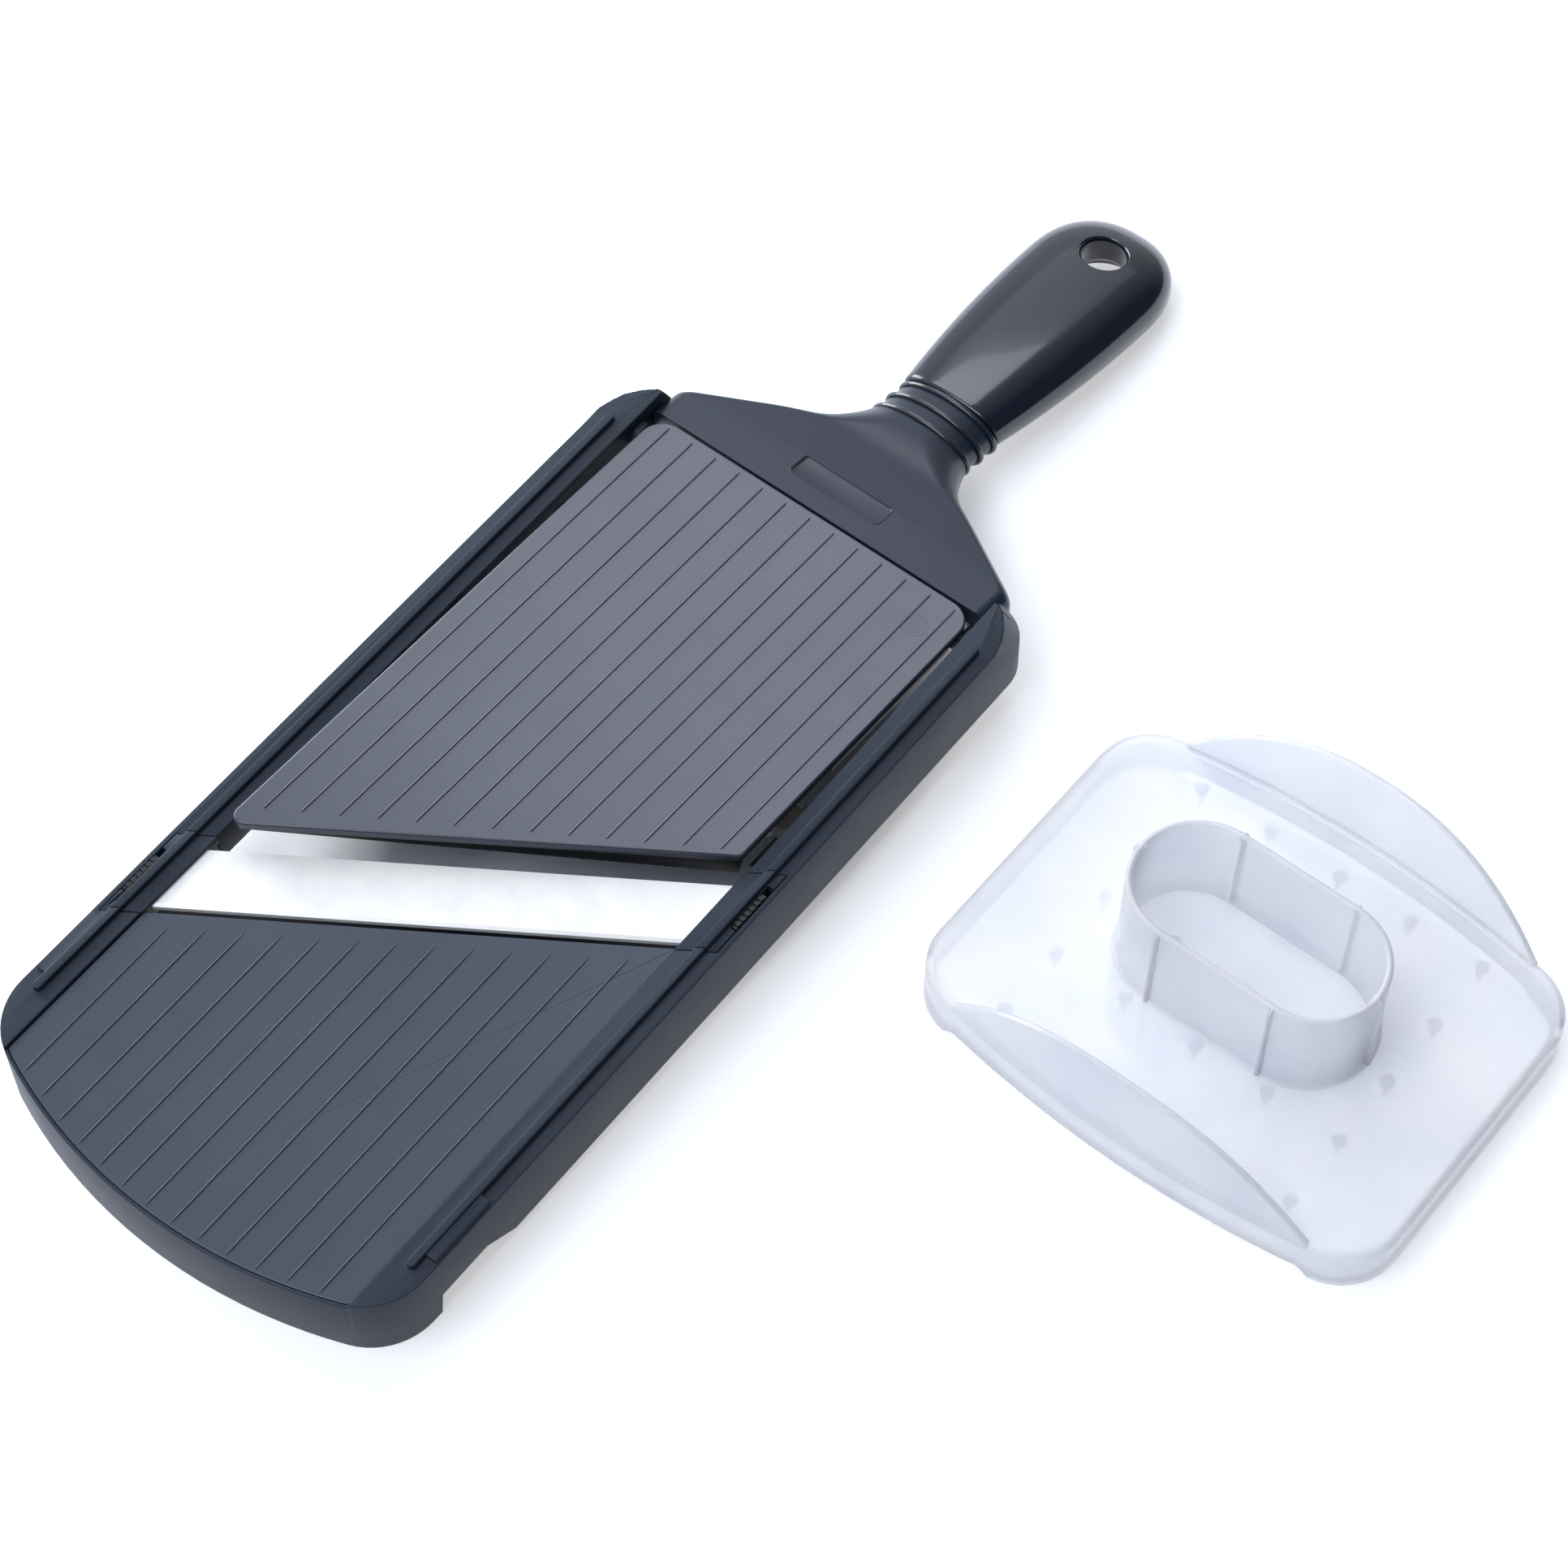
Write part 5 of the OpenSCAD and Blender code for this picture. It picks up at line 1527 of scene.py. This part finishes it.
@dataclass
class Guard:
    """Translucent hand guard: a shallow tray with two arched shields, a collar and spikes.

    Attributes:
        centre: Its middle on the table.
        half_w: Half width of the tray.
        half_l: Half length of the tray without the bow of its edges.
        corner_r: Radius of the tray's corners.
        bow: Bow of the front and rear edges.
        chord: Half the chord of those edges.
        top: Height of the tray's plate.
        wall: Thickness of the plate and walls.
        gap: Gap between the bowed walls and the table.
        rim_r: Radius of the plate's outer edge.
        inner_r: Radius of the hollow inside that edge.
        lip: Radius of the walls' foot.
        arch: Height of a shield above the plate.
        arch_power: Exponent of its arch.
        collar: Length and width of the collar.
        collar_wall: Thickness of the collar.
        collar_h: Height of the collar above the plate.
        collar_foot: Radius of the fillet round its foot.
        spikes: Number of spikes each way.
        spike_pitch: Distances between spikes across and along.
        spike_l: Length of a spike.
        spike_r: Radius of a spike at its root.
    """

    centre: Point = (166.4 * MM, 219.1 * MM, 0.0)
    half_w: float = 69.5 * MM
    half_l: float = 51.5 * MM
    corner_r: float = 17 * MM
    bow: float = 4.8 * MM
    chord: float = 53.4 * MM
    top: float = 14 * MM
    wall: float = 2 * MM
    gap: float = 3 * MM
    rim_r: float = 2.2 * MM
    inner_r: float = 1.2 * MM
    lip: float = 0.4 * MM
    arch: float = 26.5 * MM
    arch_power: float = 2.4
    collar: Pair = (71.4 * MM, 37.8 * MM)
    collar_wall: float = 1.8 * MM
    collar_h: float = 30 * MM
    collar_foot: float = 1.2 * MM
    spikes: int = 5
    spike_pitch: Pair = (21.4 * MM, 21.2 * MM)
    spike_l: float = 8 * MM
    spike_r: float = 1.7 * MM

    def bow_edge(self, x: float, reach: float = 0.0) -> float:
        """Distance of the bowed edge from the middle at x, moved in by reach."""
        radius = (self.chord**2 + self.bow**2) / (2 * self.bow)
        return self.half_l + self.bow - radius + math.sqrt((radius - reach) ** 2 - x * x)

    def outline(self) -> list[Pair]:
        """Plan of the tray.

        Returns:
            Its corners, anticlockwise.
        """
        cx, cy = self.half_w - self.corner_r, self.half_l - self.corner_r
        # A corner ends just before the bow begins, so the plan never turns back
        inside = 0.5 * MM
        corner = arc((cx, cy), self.corner_r, 0.0, math.radians(80), 14)
        xs = [(cx - inside) * math.cos(a) for a in sweep(math.pi, 60)]
        plan = corner + [(x, self.bow_edge(x)) for x in xs] + [(-x, y) for x, y in reversed(corner)]
        return plan + [(-x, -y) for x, y in plan]

    def tray(self) -> Form:
        """Plate with its turned-down rim, rounded where it turns.

        Returns:
            The closed tray.
        """
        plan = self.outline()
        feet = [self.gap if abs(x) < self.chord and abs(y) > self.half_l else 0.0 for x, y in plan]
        lap, under, turns = 1 * MM, self.top - self.wall, sweep(math.pi / 2, 6)

        def level(distance: float, height: float) -> Ring:
            """Ring of the plan moved in by distance, at one height."""
            return [Vector((x, y, height)) for x, y in inset(plan, distance)]

        def foot(distance: float, rise: float) -> Ring:
            """Ring of the plan moved in by distance, at rise above the walls' feet."""
            return [Vector((x, y, z + rise)) for (x, y), z in zip(inset(plan, distance), feet)]

        rings = [level(self.wall + self.inner_r + lap, under)]
        for a in turns:
            distance = self.wall + self.inner_r * (1 - math.sin(a))
            rings.append(level(distance, under - self.inner_r * (1 - math.cos(a))))
        rings += [foot(self.wall, self.lip), foot(self.wall - self.lip, 0)]
        rings += [foot(self.lip, 0), foot(0, self.lip)]
        for a in turns:
            height = self.top - self.rim_r * (1 - math.sin(a))
            rings.append(level(self.rim_r * (1 - math.cos(a)), height))
        rings.append(level(self.rim_r + lap, self.top))
        return Form.loft(rings)

    def shield(self, side: int) -> Form:
        """Arched shield along an edge.

        Args:
            side: -1 for the front edge and 1 for the rear edge.

        Returns:
            The closed shield.
        """
        # The sections crowd towards the ends, where the arch is steepest, and stop short of them
        steps, short, least = 80, 0.998, 0.05 * MM
        low, half = self.top - 0.8 * self.wall, self.wall / 2
        rings = []
        for k in range(steps + 1):
            u = math.sin(math.pi / 2 * (2 * k / steps - 1))
            x = self.chord * u * short
            high = self.top + max(self.arch * (1 - abs(u) ** self.arch_power), least)
            edge = min(half, (high - low) / 3)
            ring = [(self.wall, low), (0.0, low), (0.0, high - edge)]
            for a in sweep(math.pi, 6)[1:-1]:
                ring.append((half * (1 - math.cos(a)), high - edge + edge * math.sin(a)))
            ring.append((self.wall, high - edge))
            rings.append([Vector((x, side * self.bow_edge(x, d), z)) for d, z in ring])
        return Form.loft(rings)

    def stadium(self, reach: float) -> list[tuple[Vector, Vector]]:
        """Points round the collar.

        Args:
            reach: How far they are moved in from its outline.

        Returns:
            Each point and its outward direction.
        """
        length, width = self.collar
        points = []
        for side in (1, -1):
            middle = Vector((side * (length - width) / 2, 0, 0))
            for turn in sweep(math.pi, 32):
                a = turn - side * math.pi / 2
                out = Vector((math.cos(a), math.sin(a), 0))
                points.append((middle + out * (width / 2 - reach), out))
        return points

    def collar_tube(self) -> Form:
        """Open collar with a rounded rim.

        Returns:
            The closed tube.
        """
        half, foot = self.collar_wall / 2, self.collar_foot
        low, high = self.top - 0.6 * MM, self.top + self.collar_h
        section = [(-half, low), (half, low)]
        # The foot of the wall is filleted into the plate
        section += [
            (half + foot * (1 - math.sin(a)), self.top + foot * (1 - math.cos(a)))
            for a in sweep(math.pi / 2, 4)
        ]
        section += [
            (half * math.cos(a), high - half + half * math.sin(a)) for a in sweep(math.pi, 8)
        ]
        loops = [
            [middle + out * d + Vector((0, 0, z)) for d, z in section]
            for middle, out in self.stadium(half)
        ]
        return Form.loft(loops, closed=True)

    def collar_ribs(self) -> Form:
        """Six low ribs up the outside of the collar.

        Returns:
            The closed ribs.
        """
        length, width = self.collar
        half_w, proud = 0.6 * MM, 1.3 * MM
        high = self.top + self.collar_h
        # Half width and reach of the section, and how far each level is drawn in
        section = ((-1, -0.6), (1, -0.6), (1, 0.5), (0.5, 1), (-0.5, 1), (-1, 0.5))
        levels = (
            (0.0, self.top - 0.5 * MM),
            (0.0, high - 3 * MM),
            (0.5, high - 1 * MM),
            (0.95, high - 0.4 * MM),
        )
        places = [
            (s * (length - width) / 2, t * width / 2, 0, t) for s in (-1, 1) for t in (-1, 1)
        ]
        places += [(s * length / 2, 0.0, s, 0) for s in (-1, 1)]
        ribs = []
        for x, y, nx, ny in places:
            plan = [
                (
                    x + nx * reach * proud - ny * along * half_w,
                    y + ny * reach * proud + nx * along * half_w,
                )
                for along, reach in section
            ]
            rings = []
            for sink, z in levels:
                back = Vector((nx, ny, 0)) * -(sink * proud)
                rings.append([Vector((px, py, z)) + back for px, py in plan])
            ribs.append(Form.loft(rings))
        return Form().joined(*ribs)

    def spike_field(self) -> Form:
        """Spikes under the plate, each with a rounded point and a filleted root.

        Returns:
            The closed spikes.
        """
        profile = [
            (AXIS, -self.spike_l),
            (0.22 * MM, -self.spike_l + 0.1 * MM),
            (0.34 * MM, -self.spike_l + 0.4 * MM),
            (1.2 * MM, -2.2 * MM),
            (1.5 * MM, -1 * MM),
            (self.spike_r, -0.2 * MM),
            (self.spike_r + 0.25 * MM, 0.05 * MM),
            (AXIS, 0.3 * MM),
        ]
        spike = lathe(profile, 20)
        across, along = self.spike_pitch
        places = [i - (self.spikes - 1) / 2 for i in range(self.spikes)]
        return Form().joined(*(
            spike.moved(Matrix.Translation((i * across, k * along, self.top - self.wall)))
            for i in places
            for k in places
        ))

    def build(self) -> None:
        """Builds the guard as one moulding."""
        shields = (self.shield(-1), self.shield(1))
        form = self.tray().joined(
            *shields, self.collar_tube(), self.collar_ribs(), self.spike_field()
        )
        obj = form.moved(Matrix.Translation(self.centre)).mesh_object("guard")
        smooth(obj, 50, flat_caps=True)
        finish_piece(obj, Finish.FROSTED, "loose_guard", ["hand_guard"])


# ---------------------------------------------------------------- dressing of CAD nodes


NODE_FINISHES = {
    Finish.STEEL: (
        "yoke_screws", "grip_screw", "clamp_screws", "hinge_pins", "plate_springs",
        "cam_shaft", "barrel_screw", "cap_screws", "click_spring",
    ),
    Finish.CERAMIC: ("ceramic_blade",),
    Finish.DARK: ("left_latch", "right_latch", "thumb_barrel"),
    Finish.ACETAL: ("left_cam", "right_cam", "click_wheel"),
}


def dress_nodes(finishes: dict[Finish, tuple[str, ...]]) -> None:
    """Gives CAD nodes that stay their materials.

    Args:
        finishes: Each finish and the nodes that take it.
    """
    for finish, nodes in finishes.items():
        for node in nodes:
            obj = frame["nodes"][node]
            obj.data.materials.clear()
            obj.data.materials.append(material(finish))
            LOG.info("%s: dressed as %s", node, finish.value.name)


# ---------------------------------------------------------------- studio


@dataclass
class Studio:
    """Pale table, even light and the camera.

    Attributes:
        camera_at: Place of the camera in metres.
        camera_turn: The camera's rotation in degrees about X, Y and Z.
        lens_mm: Focal length on a 36 mm wide sensor.
        aim: Point that the lamps over the slicer face.
        lamp_colour: Colour of the lamps.
        surround: Strength of the surround on the left and on the right.
        table_colour: Colour of the table under the lamps.
        table_half: Half width of the table in metres.
        table_glow: Strength of the table's own glow.
        shade_at: Middle of the patch of painted shade under the slicer, where the table doesn't glow.
        shade_size: Half width and half length of that patch, where its gradient ends.
        shade_fade: Share of the gradient over which the glow fades.
    """

    camera_at: Point = (0.39966, -0.28664, 0.89785)
    camera_turn: Point = (34.17020, -1.02971, 38.34279)
    lens_mm: float = 95.68
    aim: Point = (0.0, 0.15, 0.0)
    lamp_colour: str = "#eef4ff"
    surround: Pair = (0.85, 0.1)
    table_colour: str = "#d9dee8"
    table_half: float = 12.0
    table_glow: float = 0.5
    shade_at: Point = (3 * MM, 185 * MM, 0.0)
    shade_size: Point = (66 * MM, 135 * MM, 1.0)
    shade_fade: float = 0.3

    def camera(self) -> None:
        """Makes the camera."""
        data = bpy.data.cameras.new("camera")
        data.lens = self.lens_mm
        data.sensor_width = 36.0
        data.clip_start = 0.01
        obj = bpy.data.objects.new("camera", data)
        obj.location = self.camera_at
        obj.rotation_euler = Euler([math.radians(a) for a in self.camera_turn], "XYZ")
        bpy.context.scene.collection.objects.link(obj)
        bpy.context.scene.camera = obj

    def table_material(self) -> bpy.types.Material:
        """Painted table top, matt and white, with painted shade under the slicer.

        Returns:
            The finished material.
        """
        s = Surface("table_white")
        # Painted shade: in a fixed patch under the slicer the glow fades to nothing, so the table there is darker
        # and keeps the lamps' real shadow of the slicer
        under = s.add(
            "ShaderNodeMapping",
            {"vector_type": "TEXTURE", "Location": self.shade_at, "Scale": self.shade_size},
            {"Vector": s.place},
        )
        disc = s.add(
            "ShaderNodeTexGradient",
            {"gradient_type": "SPHERICAL"},
            {"Vector": under.outputs["Vector"]},
        )
        glow_with_painted_shade = s.add(
            "ShaderNodeMapRange",
            {"From Max": self.shade_fade, "To Min": self.table_glow, "To Max": 0.0},
            {"Value": disc.outputs["Fac"]},
        )
        # The white background is the table's own glow, seen directly, in gloss and in plastic
        path = s.add("ShaderNodeLightPath").outputs
        glow = path["Is Camera Ray"]
        for operation, other in (
            ("MAXIMUM", path["Is Glossy Ray"]),
            ("MAXIMUM", path["Is Transmission Ray"]),
            ("MULTIPLY", glow_with_painted_shade.outputs["Result"]),
        ):
            step = s.add("ShaderNodeMath", {"operation": operation}, {0: glow, 1: other})
            glow = step.outputs["Value"]
        return s.finish(
            {
                "Base Color": srgb(self.table_colour),
                "Roughness": 0.7,
                "Specular IOR Level": 0.0,
                "Emission Color": (1, 1, 1, 1),
            },
            {"Emission Strength": glow},
        )

    def table(self) -> None:
        """Makes the table top that the slicer stands on."""
        size = self.table_half
        corners = [
            Vector((x * size, y * size, 0)) for x, y in ((-1, -1), (1, -1), (1, 1), (-1, 1))
        ]
        obj = Form(corners, [(0, 1, 2, 3)]).mesh_object("table_top")
        obj.data.materials.append(self.table_material())

    def lamp(self, name: str, place: Point, aim: Point, size: Pair, radiance: float) -> None:
        """Adds a soft lamp.

        Args:
            name: Name of the lamp.
            place: Its place in metres.
            aim: The point it faces.
            size: Width and height of its panel in metres.
            radiance: Brightness of the panel, where 1 is the table's white.
        """
        data = bpy.data.lights.new(name, "AREA")
        data.shape = "RECTANGLE"
        data.size, data.size_y = size
        data.energy = radiance * math.pi * size[0] * size[1]
        data.color = srgb(self.lamp_colour)[:3]
        obj = bpy.data.objects.new(name, data)
        obj.location = place
        obj.rotation_euler = (Vector(aim) - Vector(place)).to_track_quat("-Z", "Y").to_euler()
        bpy.context.scene.collection.objects.link(obj)

    def world(self) -> None:
        """Makes a surround that is pale on the left and dim on the right."""
        world = bpy.data.worlds.new("surround")
        world.use_nodes = True
        sky = NodeTree(world.node_tree)
        place = sky.add("ShaderNodeTexCoord").outputs["Generated"]
        parts = sky.add("ShaderNodeSeparateXYZ", {}, {"Vector": place})
        left, right = self.surround
        fall = sky.add(
            "ShaderNodeMapRange",
            {"From Min": -0.5, "From Max": 0.4, "To Min": left, "To Max": right},
            {"Value": parts.outputs["X"]},
        )
        background = sky.add(
            "ShaderNodeBackground", {"Color": (1, 1, 1, 1)}, {"Strength": fall.outputs["Result"]}
        )
        sky.add("ShaderNodeOutputWorld", {}, {"Surface": background.outputs["Background"]})
        bpy.context.scene.world = world

    def build(self) -> None:
        """Builds the studio."""
        self.camera()
        self.table()
        self.world()
        # The panel over the far left shows in the feed plate but not in the front plate
        self.lamp("panel_feed", (-0.7, 1.22, 1.5), (-0.7, 1.2, 0.0), (1.0, 0.75), 3.4)
        self.lamp("panel_back", (-0.85, 2.1, 1.5), (-0.85, 2.0, 0.0), (1.5, 1.0), 0.5)
        self.lamp("panel_left", (-1.1, 0.35, 0.4), self.aim, (0.9, 0.6), 8.0)
        self.lamp("panel_front", (-0.2, -0.7, 1.8), self.aim, (1.1, 1.1), 5.3)
        bpy.context.scene.view_settings.view_transform = "Standard"


def main() -> None:
    """Builds the scene, piece by piece."""
    logging.basicConfig(level=logging.INFO, format="%(name)s: %(message)s")
    Studio().build()
    dress_nodes(NODE_FINISHES)
    handle, ribs = Handle(), Ribs()
    handle.build()
    Yoke(handle=handle).build()
    LandingPlate(ribs=ribs).build()
    FeedPlate(ribs=ribs).build()
    MouldedPieces().build()
    Guard().build()


if __name__ == "__main__":
    main()
